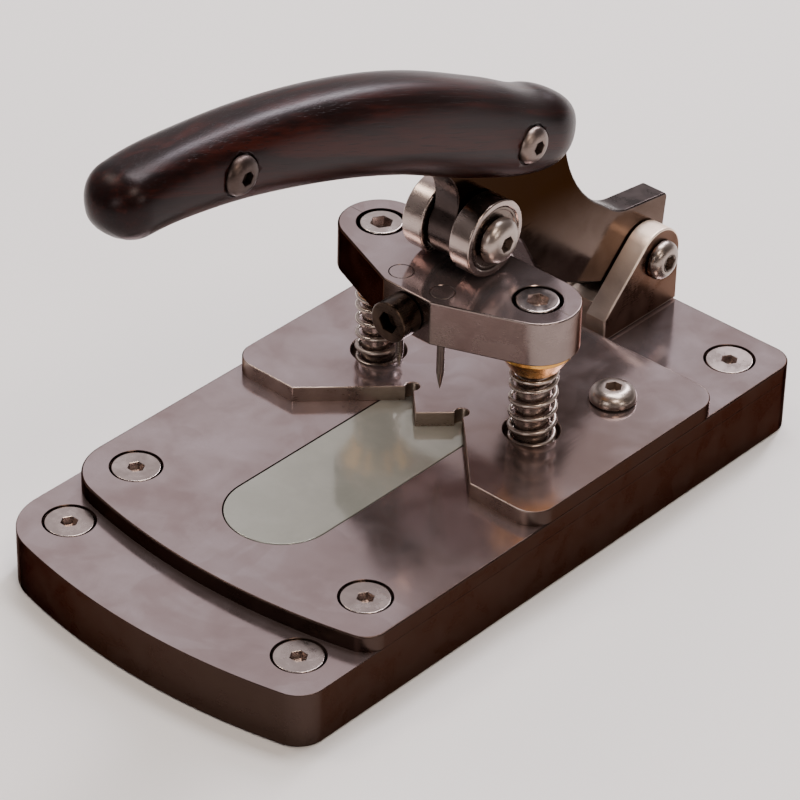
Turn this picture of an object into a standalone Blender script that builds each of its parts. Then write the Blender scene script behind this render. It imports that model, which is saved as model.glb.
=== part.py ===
"""Strap hole punch: a small lever press that pierces pairs of holes in leather straps.

Units are metres, with +Z up. The origin lies on the bench under the middle of the base.
The grip points towards -Y, and right means +X. Pressing the grip turns the lever on its
pivot, and the two rollers in its nose push the punch holder down the guide posts.
"""

import math

import bmesh
import bpy
import numpy as np
from mathutils import Matrix, Vector

# Fits
SEAT_GAP = 0.0003
BORE_GAP = 0.0003
EDGE_BREAK = 0.0004

# Base plate
BASE_LENGTH = 0.1512
BASE_WIDTH = 0.0798
BASE_THICKNESS = 0.0120
BOW_RADIUS = 0.1400
BASE_FRONT_CORNER = 0.0060
BASE_LEFT_CORNER = 0.0120
BASE_REAR_CORNER = 0.0053

# Upper plate and the cutting insert in it
SHELF_DEPTH = 0.0176
UPPER_THICKNESS = 0.0032
UPPER_CORNER = 0.0050
UPPER_LEFT_CORNER = 0.0115
INSERT_WIDTH = 0.0220
INSERT_SETBACK = 0.0130
INSERT_PAST_NEEDLES = 0.0200

# Places along the press, taken from the rear edge forwards
EAR_RADIUS = 0.0066
PIVOT_RISE = 0.0125
PIVOT_TO_POSTS = 0.0534
POSTS_TO_NEEDLES = 0.0106
POSTS_TO_ROLLER = 0.00065

# Fence plate
FENCE_THICKNESS = 0.0030
FENCE_WING_REACH = 0.0113
FENCE_NOTCH_DEPTH = 0.0055
FENCE_RELIEF_SPACING = 0.0130
FENCE_RELIEF_RADIUS = 0.0014
FENCE_FRONT_CORNER = 0.0050
FENCE_REAR_CORNER = 0.0060
FENCE_TO_BRACKET = 0.0017
FENCE_SCREW_INSET = 0.0149
FENCE_SCREW_SETBACK = 0.0189

# Screws: M5 apart from the two in the grip; a socket's depth is a share of its width
THREAD_RADIUS = 0.0025
BUTTON_HEAD_RADIUS = 0.00475
BUTTON_HEAD_HEIGHT = 0.00275
BUTTON_LAND = 0.0005
CAP_HEAD_RADIUS = 0.00425
CAP_HEAD_HEIGHT = 0.0050
FLAT_HEAD_RADIUS = 0.0048
FLAT_HEAD_LAND = 0.0003
FLAT_HEAD_SINK = 0.00015
FLAT_HEAD_GAP = 0.00043
FLAT_SOCKET = 0.0030
CAP_SOCKET = 0.0040
SOCKET_DEPTH = 0.6
SCREW_FLOOR = 0.0030
SCREW_INSET = 0.0099
SHELF_SCREW_REACH = 0.00625
PLATE_SCREW_SETBACK = 0.0150

# Guide posts, bushes and return springs
POST_SPACING = 0.0402
POST_RADIUS = 0.0035
POST_FLOOR = 0.0037
POST_SCREW_DEPTH = 0.0100
BUSH_WALL = 0.0005
BUSH_FLANGE = 0.0050
BUSH_RIM = 0.0011
BUSH_FLANGE_RADIUS = 0.0074
SPRING_LENGTH = 0.0178
SPRING_WIRE = 0.0010
SPRING_RADIUS = 0.0044
SPRING_TURNS = 4.2
SPRING_END_RISE = 0.0015
SPRING_POINTS = 10
SPRING_HOLE_GAP = 0.0008

# Punch holder and needles
HOLDER_THICKNESS = 0.0097
HOLDER_BOSS = 0.0086
HOLDER_NOSE_WIDTH = 0.0120
HOLDER_NOSE_REACH = 0.01495
HOLDER_NOSE_CORNER = 0.0012
HEAD_CLEARANCE = 0.0007
NEEDLE_SPACING = 0.0106
NEEDLE_SHANK_RADIUS = 0.0024
NEEDLE_BLADE_RADIUS = 0.0008
NEEDLE_TAPER = 0.0040
NEEDLE_CLEARANCE = 0.0005
STROKE = 0.0105
CLAMP_SCREW_LENGTH = 0.0080

# Pivot bracket
BRACKET_LENGTH = 0.0234
EAR_THICKNESS = 0.00485
WEB_SETBACK = 0.0018
WEB_RISE = 0.0074
WEB_LENGTH = 0.0025
WEB_SLOPE = 0.0045
BRACKET_FLOOR = 0.0045
BRACKET_BOLT_INSET = 0.0058
BOLT_SINK = 0.0054

# Pivot
PIN_RADIUS = 0.0040
PIN_INSET = 0.00015
PIN_SCREW_DEPTH = 0.0060
PIN_SCREW_HEAD = 0.0042
PIN_SCREW_HEIGHT = 0.0025
HUB_BUSH_WALL = 0.0009

# Rollers: two small ball bearings
ROLLER_RADIUS = 0.0080
ROLLER_WIDTH = 0.0050
ROLLER_RING_WALL = 0.0014
ROLLER_INNER_WALL = 0.0012
ROLLER_SIDE_GAP = 0.0005
ROLLER_BALLS = 8
ROLLER_BALL_RADIUS = 0.0009
ROLLER_CAGE = 0.0004
SHIELD_THICKNESS = 0.0004
SHIELD_SINK = 0.0002

# Lever, with its corners given as reach before the pivot and rise above it
LEVER_THICKNESS = 0.0060
NOSE_RADIUS = 0.0068
HUB_RADIUS = 0.0072
FRONT_EDGE_REACH = 0.0612
FRONT_EDGE_WAIST = (0.0048, 0.0078)
BELLY_REACH = 0.0395
BELLY_RADIUS = 0.0080
KNEE = (0.0305, 0.0058)
KNEE_RADIUS = 0.0015
TAIL_CORNER = (-0.0083, 0.0100)
TAIL_RADIUS = 0.0012
BACK_STEP = (0.0075, 0.0121)
BACK_STEP_RADIUS = 0.0120
BACK_LOW = (0.0130, 0.0164)
BACK_MIDDLE = (0.0223, 0.0263)
BACK_TOP = (0.0260, 0.0382)
TANG_REAR = 0.0312
TANG_PAST_SCREW = 0.0085
TANG_RECESS = 0.0002
WOOD_OVER_TANG = 0.0036

# Grip stations: reach before the pivot, rise above it, half height, half width
GRIP_STATIONS = (
    (0.0238, 0.0411, 0.0078, 0.0088),
    (0.0365, 0.0431, 0.0086, 0.0091),
    (0.0515, 0.0497, 0.0096, 0.0090),
    (0.0728, 0.0597, 0.0096, 0.0088),
    (0.0999, 0.0685, 0.0089, 0.0083),
    (0.1253, 0.0733, 0.0077, 0.0078),
    (0.1377, 0.0743, 0.0072, 0.0076),
    (0.1495, 0.0735, 0.0066, 0.0072),
)
GRIP_REAR_ROUND = 0.0110
GRIP_TIP_ROUND = 0.0070
GRIP_SQUARENESS = 2.4
GRIP_SIDES = 18
GRIP_RINGS = 11
GRIP_END_RINGS = 4

# Grip screws and their sleeve nuts
GRIP_SCREW_REACHES = {"rear": 0.0430, "front": 0.1215}
GRIP_SCREW_THREAD = 0.0017
GRIP_SCREW_HEAD = 0.0038
GRIP_SCREW_HEIGHT = 0.0022
GRIP_SCREW_SOCKET = 0.0025
GRIP_SPOT_DEPTH = 0.0012
SLEEVE_WALL = 0.0005
SLEEVE_HEAD = 0.0015

# Facets
DOME_STEPS = 3
SCREW_SIDES = 16
BORE_SIDES = 16
TURNED_SIDES = 24
RING_SIDES = 32
ARC_STEP = math.radians(15.0)
ARC_SAG = 0.00006

# Heights and places worked out from the sizes above
UPPER_LOW = BASE_THICKNESS + SEAT_GAP
UPPER_TOP = UPPER_LOW + UPPER_THICKNESS
FENCE_LOW = UPPER_TOP + SEAT_GAP
FENCE_TOP = FENCE_LOW + FENCE_THICKNESS
SPRING_LOW = UPPER_TOP + SEAT_GAP
FLANGE_LOW = SPRING_LOW + SPRING_LENGTH + SEAT_GAP
HOLDER_LOW = FLANGE_LOW + BUSH_FLANGE + SEAT_GAP
HOLDER_TOP = HOLDER_LOW + HOLDER_THICKNESS
CAP_HEAD_LOW = HOLDER_TOP - CAP_HEAD_HEIGHT
POST_TOP = CAP_HEAD_LOW - SEAT_GAP

BASE_FRONT = -BASE_LENGTH / 2
BASE_REAR = BASE_LENGTH / 2
UPPER_FRONT = BASE_FRONT + SHELF_DEPTH
PIVOT_Y = BASE_REAR - EAR_RADIUS
PIVOT_Z = UPPER_TOP + SEAT_GAP + PIVOT_RISE
BRACKET_FRONT = BASE_REAR - BRACKET_LENGTH
POST_X = POST_SPACING / 2
POST_Y = PIVOT_Y - PIVOT_TO_POSTS
NEEDLE_X = NEEDLE_SPACING / 2
NEEDLE_Y = POST_Y - POSTS_TO_NEEDLES
ROLLER_Y = POST_Y + POSTS_TO_ROLLER
ROLLER_Z = HOLDER_TOP + SEAT_GAP + ROLLER_RADIUS
NOSE_Y = POST_Y - HOLDER_NOSE_REACH
CLAMP_Z = HOLDER_LOW + HOLDER_THICKNESS / 2

THREAD_HOLE = THREAD_RADIUS + BORE_GAP
TANG_REACH = GRIP_SCREW_REACHES["front"] + TANG_PAST_SCREW
POST_HOLE = POST_RADIUS + BORE_GAP
EAR_INNER = LEVER_THICKNESS / 2 + SEAT_GAP
EAR_OUTER = EAR_INNER + EAR_THICKNESS
HUB_HOLE = PIN_RADIUS + BORE_GAP + HUB_BUSH_WALL + BORE_GAP
SIDES = {"left": -1, "right": 1}

LEVER_PLACE = Vector((0.0, PIVOT_Y, PIVOT_Z))
RAM_PLACE = Vector((0.0, POST_Y, HOLDER_LOW))


# Materials


def finish(name, colour, roughness, metallic):
    """Make a Principled material from a linear colour."""
    material = bpy.data.materials.new(name)
    material.use_nodes = True
    shader = material.node_tree.nodes["Principled BSDF"]
    shader.inputs["Base Color"].default_value = (*colour, 1.0)
    shader.inputs["Roughness"].default_value = roughness
    shader.inputs["Metallic"].default_value = metallic
    material.diffuse_color = (*colour, 1.0)
    return material


def make_finishes():
    """All finishes by name."""
    return {
        "plate_steel": finish("plate_steel", (0.33, 0.26, 0.25), 0.28, 1.0),
        "insert": finish("insert", (0.37, 0.40, 0.35), 0.55, 0.0),
        "screw_steel": finish("screw_steel", (0.42, 0.40, 0.38), 0.30, 1.0),
        "post_steel": finish("post_steel", (0.62, 0.60, 0.57), 0.15, 1.0),
        "spring_steel": finish("spring_steel", (0.46, 0.44, 0.42), 0.25, 1.0),
        "brass": finish("brass", (0.62, 0.42, 0.14), 0.28, 1.0),
        "black_oxide": finish("black_oxide", (0.02, 0.02, 0.022), 0.40, 0.6),
        "lever_steel": finish("lever_steel", (0.36, 0.32, 0.31), 0.30, 1.0),
        "rosewood": finish("rosewood", (0.060, 0.018, 0.010), 0.35, 0.0),
    }


# Outlines in a plane, as lists of (u, v) points


def arc(centre, radius, start, end):
    """Points of an arc from one angle to another, in radians, both ends included."""
    step_angle = min(ARC_STEP, 2 * math.acos(1 - ARC_SAG / radius))
    steps = max(2, math.ceil(abs(end - start) / step_angle - 1e-9))
    angles = [start + (end - start) * step / steps for step in range(steps + 1)]
    return [(centre[0] + radius * math.cos(a), centre[1] + radius * math.sin(a)) for a in angles]


def arc_through(first, middle, last, steps):
    """Points of the arc through three points, both ends included."""
    ax, ay = first
    bx, by = middle
    cx, cy = last
    double_area = 2 * (ax * (by - cy) + bx * (cy - ay) + cx * (ay - by))
    squares = (ax * ax + ay * ay, bx * bx + by * by, cx * cx + cy * cy)
    x = (squares[0] * (by - cy) + squares[1] * (cy - ay) + squares[2] * (ay - by)) / double_area
    y = (squares[0] * (cx - bx) + squares[1] * (ax - cx) + squares[2] * (bx - ax)) / double_area
    radius = math.hypot(ax - x, ay - y)
    start = math.atan2(ay - y, ax - x)
    turn = math.atan2(cy - y, cx - x) - start
    sense = math.copysign(1.0, double_area)
    if turn * sense < 0:
        turn += sense * 2 * math.pi
    angles = [start + turn * step / steps for step in range(steps + 1)]
    return [(x + radius * math.cos(a), y + radius * math.sin(a)) for a in angles]


def filleted(corners):
    """Outline through (u, v) points and (u, v, radius) corners, each corner rounded to its radius."""
    points = []
    for index, corner in enumerate(corners):
        if len(corner) == 2:
            points.append(corner)
            continue
        here = Vector(corner[:2])
        before = (Vector(corners[index - 1][:2]) - here).normalized()
        after = (Vector(corners[(index + 1) % len(corners)][:2]) - here).normalized()
        half = before.angle(after) / 2
        middle = here + (before + after).normalized() * corner[2] / math.sin(half)
        start = here + before * corner[2] / math.tan(half) - middle
        end = here + after * corner[2] / math.tan(half) - middle
        first = math.atan2(start.y, start.x)
        turn = (math.atan2(end.y, end.x) - first + math.pi) % (2 * math.pi) - math.pi
        points.extend(arc(middle, corner[2], first, first + turn))
    return points


def bowed_half(front, rear, width, front_corner, rear_corner):
    """Right half of a plate's outline: half the bow, a corner, a straight side and a corner."""
    half = width / 2
    bow = (0.0, front + BOW_RADIUS)
    corner_x = half - front_corner
    corner_y = bow[1] - math.sqrt((BOW_RADIUS - front_corner) ** 2 - corner_x**2)
    lean = math.atan2(corner_y - bow[1], corner_x)
    right = arc(bow, BOW_RADIUS, -math.pi / 2, lean)
    right += arc((corner_x, corner_y), front_corner, lean, 0.0)[1:]
    return right + arc((half - rear_corner, rear - rear_corner), rear_corner, 0.0, math.pi / 2)


def bowed_outline(front, rear, width, left_corner, right_corner):
    """Plate outline with a bowed front, straight sides and four rounded corners."""
    right = bowed_half(front, rear, width, right_corner, BASE_REAR_CORNER)
    left = bowed_half(front, rear, width, left_corner, BASE_REAR_CORNER)
    return right + [(-x, y) for x, y in reversed(left)][:-1]


def bow_edge(front, x):
    """Place along Y of a bowed front edge at a distance from the middle."""
    return front + BOW_RADIUS - math.sqrt(BOW_RADIUS**2 - x**2)


def tangent_angle(point, centre, radius, side):
    """Angle on a circle at which a line from an outside point touches it."""
    offset = Vector(point) - Vector(centre)
    return math.atan2(offset.y, offset.x) + side * math.acos(radius / offset.length)


# Solids


def prism(outline, low, high, axis="Z"):
    """Closed solid of an outline pushed along an axis: (x, y) along Z, or (y, z) along X."""
    solid = bmesh.new()
    if axis == "Z":
        rims = [[solid.verts.new((u, v, level)) for u, v in outline] for level in (low, high)]
    else:
        rims = [[solid.verts.new((level, u, v)) for u, v in outline] for level in (low, high)]
    solid.faces.new(rims[0])
    solid.faces.new(rims[1])
    for index in range(len(outline)):
        solid.faces.new((rims[0][index - 1], rims[0][index], rims[1][index], rims[1][index - 1]))
    bmesh.ops.recalc_face_normals(solid, faces=solid.faces)
    return solid


def turned(profile, sides):
    """Closed solid of revolution about Z from a closed (radius, height) profile."""
    solid = bmesh.new()
    rings = []
    for radius, height in profile:
        if radius < 1e-9:
            rings.append([solid.verts.new((0.0, 0.0, height))])
            continue
        angles = [2 * math.pi * side / sides for side in range(sides)]
        circle = [(radius * math.cos(a), radius * math.sin(a), height) for a in angles]
        rings.append([solid.verts.new(point) for point in circle])
    for ring, following in zip(rings, rings[1:] + rings[:1]):
        if len(ring) == 1 and len(following) == 1:
            continue
        for side in range(sides):
            near = [ring[(side - 1) % len(ring)], ring[side % len(ring)]]
            far = [following[side % len(following)], following[(side - 1) % len(following)]]
            solid.faces.new(list(dict.fromkeys(near + far)))
    bmesh.ops.recalc_face_normals(solid, faces=solid.faces)
    return solid


def moved(solid, place, matrix=None):
    """Turn a solid by a matrix, if given, and move it to a place."""
    if matrix is not None:
        solid.transform(matrix)
    solid.transform(Matrix.Translation(place))
    return solid


def joined(solids):
    """Gather separate solids in one mesh, for use as one cutter."""
    gathered = bmesh.new()
    for solid in solids:
        mesh = bpy.data.meshes.new("gathered")
        solid.to_mesh(mesh)
        solid.free()
        gathered.from_mesh(mesh)
        bpy.data.meshes.remove(mesh)
    return gathered


def along_x(side):
    """Turn that lays a solid's +Z along +X or -X."""
    return Matrix.Rotation(side * math.pi / 2, 4, "Y")


# Objects


def make_carrier(name, place, parent=None):
    """Empty on a joint's axis that carries the pieces of one moving body."""
    carrier = bpy.data.objects.new(name, None)
    carrier["place"] = tuple(place)
    carrier.parent = parent
    carrier.location = Vector(place) - (Vector(parent["place"]) if parent else Vector())
    bpy.context.scene.collection.objects.link(carrier)
    return carrier


def make_piece(name, solid, material, carrier):
    """Named object whose origin is its carrier's; the solid is given in the part's frame."""
    mesh = bpy.data.meshes.new(name)
    solid.transform(Matrix.Translation(-Vector(carrier["place"])))
    solid.to_mesh(mesh)
    solid.free()
    if material:
        mesh.materials.append(material)
        mesh.shade_smooth()
        mesh.set_sharp_from_angle(angle=math.radians(32.0))
    piece = bpy.data.objects.new(name, mesh)
    piece.parent = carrier
    bpy.context.scene.collection.objects.link(piece)
    return piece


def make_cutter(name, solid, carrier):
    """Hidden solid that Booleans take away."""
    cutter = make_piece(name, solid, None, carrier)
    cutter.hide_render = True
    cutter.display_type = "WIRE"
    return cutter


def break_edges(piece, width=EDGE_BREAK):
    """Small chamfer along the sharp edges, made before any cut."""
    bevel = piece.modifiers.new("edge_break", "BEVEL")
    bevel.width = width
    bevel.segments = 1
    bevel.limit_method = "ANGLE"
    bevel.angle_limit = math.radians(50.0)


def cut(piece, *cutters):
    """Take hidden cutters away from a piece."""
    for cutter in cutters:
        boolean = piece.modifiers.new(cutter.name, "BOOLEAN")
        boolean.operation = "DIFFERENCE"
        boolean.solver = "EXACT"
        boolean.object = cutter


def fuse(piece, other):
    """Join a hidden solid to a piece."""
    boolean = piece.modifiers.new(other.name, "BOOLEAN")
    boolean.operation = "UNION"
    boolean.solver = "EXACT"
    boolean.object = other


# Screws, pointing down -Z with the head at the top


def shank(length, radius=THREAD_RADIUS):
    """Profile points of a plain shank below height zero."""
    return [(0.0, -length), (radius, -length)]


def button_profile(length, head=BUTTON_HEAD_RADIUS, height=BUTTON_HEAD_HEIGHT, thread=THREAD_RADIUS):
    """Button head above its seat at zero: a short land and a dome with a flat top."""
    top = head - height
    angles = [math.pi / 2 * step / DOME_STEPS for step in range(DOME_STEPS + 1)]
    rise = height - BUTTON_LAND
    dome = [(top + (head - top) * math.cos(a), BUTTON_LAND + rise * math.sin(a)) for a in angles]
    return shank(length, thread) + [(thread, 0.0), (head, 0.0)] + dome + [(0.0, height)]


def cap_profile(length):
    """Cap head above its seat at zero, with a chamfered rim."""
    rim = CAP_HEAD_RADIUS - EDGE_BREAK
    head = [(CAP_HEAD_RADIUS, 0.0), (CAP_HEAD_RADIUS, CAP_HEAD_HEIGHT - EDGE_BREAK), (rim, CAP_HEAD_HEIGHT)]
    return shank(length) + [(THREAD_RADIUS, 0.0)] + head + [(0.0, CAP_HEAD_HEIGHT)]


def flat_profile(length):
    """Countersunk head whose top is at zero."""
    cone_end = FLAT_HEAD_LAND + FLAT_HEAD_RADIUS - THREAD_RADIUS
    head = [(THREAD_RADIUS, -cone_end), (FLAT_HEAD_RADIUS, -FLAT_HEAD_LAND), (FLAT_HEAD_RADIUS, 0.0)]
    return shank(length) + head + [(0.0, 0.0)]


def make_screw(name, profile, socket, place, matrix, material, carrier):
    """Screw with a hexagon socket, its seat at a place."""
    top = profile[-1][1]
    screw = make_piece(name, moved(turned(profile, SCREW_SIDES), place, matrix), material, carrier)
    hexagon = turned(plain_hole(socket / math.sqrt(3), top - SOCKET_DEPTH * socket, top + socket), 6)
    cut(screw, make_cutter(name + "_socket", moved(hexagon, place, matrix), carrier))
    return screw


def flat_hole(bottom, surface):
    """Profile of the countersunk clearance hole of a flat head screw."""
    rim = FLAT_HEAD_RADIUS + FLAT_HEAD_GAP
    land = FLAT_HEAD_SINK + FLAT_HEAD_LAND
    cone_end = land + rim - THREAD_HOLE
    return [
        (0.0, bottom),
        (THREAD_HOLE, bottom),
        (THREAD_HOLE, surface - cone_end),
        (rim, surface - land),
        (rim, surface + SEAT_GAP),
        (0.0, surface + SEAT_GAP),
    ]


def plain_hole(radius, low, high):
    """Profile of a plain round hole."""
    return [(0.0, low), (radius, low), (radius, high), (0.0, high)]


# Plates


def flat_screw_places():
    """Every flat head screw as (name, x, y, surface height)."""
    x = BASE_WIDTH / 2 - SCREW_INSET
    rows = {
        "front": (bow_edge(UPPER_FRONT, x) - SHELF_SCREW_REACH, BASE_THICKNESS),
        "plate": (UPPER_FRONT + PLATE_SCREW_SETBACK, UPPER_TOP),
        "rear": (BASE_REAR - SCREW_INSET, UPPER_TOP),
    }
    return [
        (f"{row}_screw_{side}", sign * x, y, surface)
        for row, (y, surface) in rows.items()
        for side, sign in SIDES.items()
    ]


def fence_screw_places():
    """The two fence screws as (side, x, y)."""
    x = BASE_WIDTH / 2 - FENCE_SCREW_INSET
    y = POST_Y + FENCE_SCREW_SETBACK
    return [(side, sign * x, y) for side, sign in SIDES.items()]


def bracket_bolt_places():
    """The two bracket bolts as (name, y)."""
    return [("front", BRACKET_FRONT + BRACKET_BOLT_INSET), ("rear", PIVOT_Y)]


def make_stack_bores(root):
    """One cutter with every bore that runs through the stacked plates, so that they line up."""
    bores = []
    for _, x, y, surface in flat_screw_places():
        bores.append(moved(turned(flat_hole(SCREW_FLOOR, surface), BORE_SIDES), (x, y, 0.0)))
    for _, x, y in fence_screw_places():
        profile = plain_hole(THREAD_HOLE, SCREW_FLOOR, FENCE_TOP + SEAT_GAP)
        bores.append(moved(turned(profile, BORE_SIDES), (x, y, 0.0)))
    for sign in SIDES.values():
        bores.append(moved(turned(post_hole_profile(), TURNED_SIDES), (sign * POST_X, POST_Y, 0.0)))
    for _, y in bracket_bolt_places():
        bores.append(moved(turned(bolt_hole_profile(), BORE_SIDES), (0.0, y, 0.0)))
    return make_cutter("stack_bores", joined(bores), root)


def post_hole_profile():
    """Countersink from below, post bore with a floor, and the wide spring hole in the fence."""
    rim = FLAT_HEAD_RADIUS + FLAT_HEAD_GAP
    land = FLAT_HEAD_SINK + FLAT_HEAD_LAND
    between = UPPER_TOP + SEAT_GAP / 2
    spring_hole = SPRING_RADIUS + SPRING_WIRE / 2 + SPRING_HOLE_GAP
    return [
        (0.0, -SEAT_GAP),
        (rim, -SEAT_GAP),
        (rim, land),
        (THREAD_HOLE, land + rim - THREAD_HOLE),
        (THREAD_HOLE, POST_FLOOR),
        (POST_HOLE, POST_FLOOR),
        (POST_HOLE, between),
        (spring_hole, between),
        (spring_hole, FENCE_TOP + SEAT_GAP),
        (0.0, FENCE_TOP + SEAT_GAP),
    ]


def bolt_hole_profile():
    """Counterbore from below and the bore up into the bracket."""
    head = CAP_HEAD_RADIUS + BORE_GAP
    top = FENCE_LOW + BRACKET_FLOOR - 2 * SEAT_GAP
    return [
        (0.0, -SEAT_GAP),
        (head, -SEAT_GAP),
        (head, BOLT_SINK),
        (THREAD_HOLE, BOLT_SINK),
        (THREAD_HOLE, top),
        (0.0, top),
    ]


def make_base(root, finishes, bores):
    """Thick plate with the bowed shelf."""
    outline = bowed_outline(BASE_FRONT, BASE_REAR, BASE_WIDTH, BASE_LEFT_CORNER, BASE_FRONT_CORNER)
    base = make_piece("base_plate", prism(outline, 0.0, BASE_THICKNESS), finishes["plate_steel"], root)
    break_edges(base)
    cut(base, bores)


def stadium(width, front, rear):
    """Outline of a strip with round ends."""
    radius = width / 2
    front_end = arc((0.0, front + radius), radius, math.pi, 2 * math.pi)
    return front_end + arc((0.0, rear - radius), radius, 0.0, math.pi)


def make_upper_plate(root, finishes, bores):
    """Thin plate with the pocket of the cutting insert, and the insert."""
    outline = bowed_outline(UPPER_FRONT, BASE_REAR, BASE_WIDTH, UPPER_LEFT_CORNER, UPPER_CORNER)
    plate = make_piece("upper_plate", prism(outline, UPPER_LOW, UPPER_TOP), finishes["plate_steel"], root)
    break_edges(plate)
    front = UPPER_FRONT + INSERT_SETBACK
    rear = NEEDLE_Y + INSERT_PAST_NEEDLES
    pocket = stadium(INSERT_WIDTH + 2 * SEAT_GAP, front - SEAT_GAP, rear + SEAT_GAP)
    pocket_cutter = prism(pocket, UPPER_LOW - SEAT_GAP / 2, UPPER_TOP + SEAT_GAP)
    cut(plate, make_cutter("insert_pocket", pocket_cutter, root), bores)
    insert = prism(stadium(INSERT_WIDTH, front, rear), UPPER_LOW, UPPER_TOP)
    make_piece("anvil_insert", insert, finishes["insert"], root)


def fence_outline():
    """Fence seen from above: two square notches, cut back to relief holes, with a tooth between."""
    relief_x = FENCE_RELIEF_SPACING / 2
    relief_y = NEEDLE_Y + FENCE_NOTCH_DEPTH
    wing_y = NEEDLE_Y - FENCE_WING_REACH
    wing_x = relief_x + relief_y - wing_y
    half = BASE_WIDTH / 2
    rear = BRACKET_FRONT - FENCE_TO_BRACKET
    right = [
        (relief_x, relief_y),
        (wing_x, wing_y, 0.0006),
        (half, wing_y, FENCE_FRONT_CORNER),
        (half, rear, FENCE_REAR_CORNER),
    ]
    left = [(-corner[0], *corner[1:]) for corner in reversed(right)]
    return filleted([(0.0, relief_y - relief_x), *right, *left])


def make_fence(root, finishes, bores):
    """Fence plate that the strap's edge is pushed against."""
    plate = prism(fence_outline(), FENCE_LOW, FENCE_TOP)
    fence = make_piece("fence_plate", plate, finishes["plate_steel"], root)
    profile = plain_hole(FENCE_RELIEF_RADIUS, FENCE_LOW - SEAT_GAP / 2, FENCE_TOP + SEAT_GAP)
    reliefs = []
    for sign in SIDES.values():
        place = (sign * FENCE_RELIEF_SPACING / 2, NEEDLE_Y + FENCE_NOTCH_DEPTH, 0.0)
        reliefs.append(moved(turned(profile, SCREW_SIDES), place))
    cut(fence, bores, make_cutter("fence_reliefs", joined(reliefs), root))


def make_plate_screws(root, finishes):
    """Flat head screws of the plates and button heads of the fence."""
    steel = finishes["screw_steel"]
    for name, x, y, surface in flat_screw_places():
        top = surface - FLAT_HEAD_SINK
        profile = flat_profile(top - SCREW_FLOOR - SEAT_GAP)
        make_screw(name, profile, FLAT_SOCKET, (x, y, top), None, steel, root)
    for side, x, y in fence_screw_places():
        seat = FENCE_TOP + SEAT_GAP
        profile = button_profile(seat - SCREW_FLOOR - SEAT_GAP)
        make_screw(f"fence_screw_{side}", profile, FLAT_SOCKET, (x, y, seat), None, steel, root)


# Guide posts and springs


def make_posts(root, finishes):
    """Posts with a threaded bore at each end, and the screws in them."""
    foot = POST_FLOOR + SEAT_GAP
    depth = POST_SCREW_DEPTH + SEAT_GAP
    profile = [
        (0.0, foot + depth),
        (THREAD_HOLE, foot + depth),
        (THREAD_HOLE, foot),
        (POST_RADIUS, foot),
        (POST_RADIUS, POST_TOP),
        (THREAD_HOLE, POST_TOP),
        (THREAD_HOLE, POST_TOP - depth),
        (0.0, POST_TOP - depth),
    ]
    upside_down = Matrix.Rotation(math.pi, 4, "X")
    steel = finishes["screw_steel"]
    for side, sign in SIDES.items():
        x = sign * POST_X
        post = moved(turned(profile, TURNED_SIDES), (x, POST_Y, 0.0))
        make_piece(f"guide_post_{side}", post, finishes["post_steel"], root)
        cap = cap_profile(SEAT_GAP + POST_SCREW_DEPTH)
        place = (x, POST_Y, CAP_HEAD_LOW)
        make_screw(f"post_cap_screw_{side}", cap, CAP_SOCKET, place, None, steel, root)
        flat = flat_profile(foot - FLAT_HEAD_SINK + POST_SCREW_DEPTH)
        place = (x, POST_Y, FLAT_HEAD_SINK)
        make_screw(f"post_foot_screw_{side}", flat, FLAT_SOCKET, place, upside_down, steel, root)


def spring_route():
    """Centre line of a return spring: close end turns, open middle, straight wire ends."""
    pitch = (SPRING_LENGTH - SPRING_WIRE - 2 * SPRING_END_RISE) / SPRING_TURNS
    turns = SPRING_TURNS + 2
    count = round(turns * SPRING_POINTS)
    along = np.linspace(0.0, turns, count + 1)
    rise = SPRING_END_RISE * np.minimum(along, 1.0) + pitch * np.clip(along - 1.0, 0.0, SPRING_TURNS)
    rise += SPRING_END_RISE * np.maximum(along - turns + 1.0, 0.0)
    angle = 2 * np.pi * along
    route = np.stack([SPRING_RADIUS * np.cos(angle), SPRING_RADIUS * np.sin(angle), rise], axis=1)
    ends = []
    for index, sense in ((0, -1.0), (-1, 1.0)):
        tangent = np.array([-np.sin(angle[index]), np.cos(angle[index]), 0.0])
        ends.append(route[index] + sense * SPRING_WIRE * tangent)
    route = np.vstack([ends[0], route, ends[1]])
    route[:, 2] += SPRING_LOW + SPRING_WIRE / 2
    return route


def least_spring_gap(route):
    """Least clear distance between wire stretches more than half a turn apart."""
    apart = np.linalg.norm(route[:, None, :] - route[None, :, :], axis=2)
    index = np.arange(len(route))
    near = np.abs(index[:, None] - index[None, :]) < SPRING_POINTS / 2
    return float(np.where(near, np.inf, apart).min() - SPRING_WIRE)


def make_springs(root, finishes):
    """Return springs, each one unbroken helical wire round its post."""
    route = spring_route()
    print(f"return spring: least gap to itself {1000 * least_spring_gap(route):.2f} mm")
    for side, sign in SIDES.items():
        curve = bpy.data.curves.new(f"return_spring_{side}", "CURVE")
        curve.dimensions = "3D"
        curve.bevel_depth = SPRING_WIRE / 2
        curve.bevel_resolution = 1
        curve.use_fill_caps = True
        wire = curve.splines.new("POLY")
        wire.points.add(len(route) - 1)
        for point, (x, y, z) in zip(wire.points, route):
            point.co = (sign * POST_X + x, POST_Y + y, z, 1.0)
        curve.materials.append(finishes["spring_steel"])
        spring = bpy.data.objects.new(f"return_spring_{side}", curve)
        spring.parent = root
        bpy.context.scene.collection.objects.link(spring)


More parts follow.
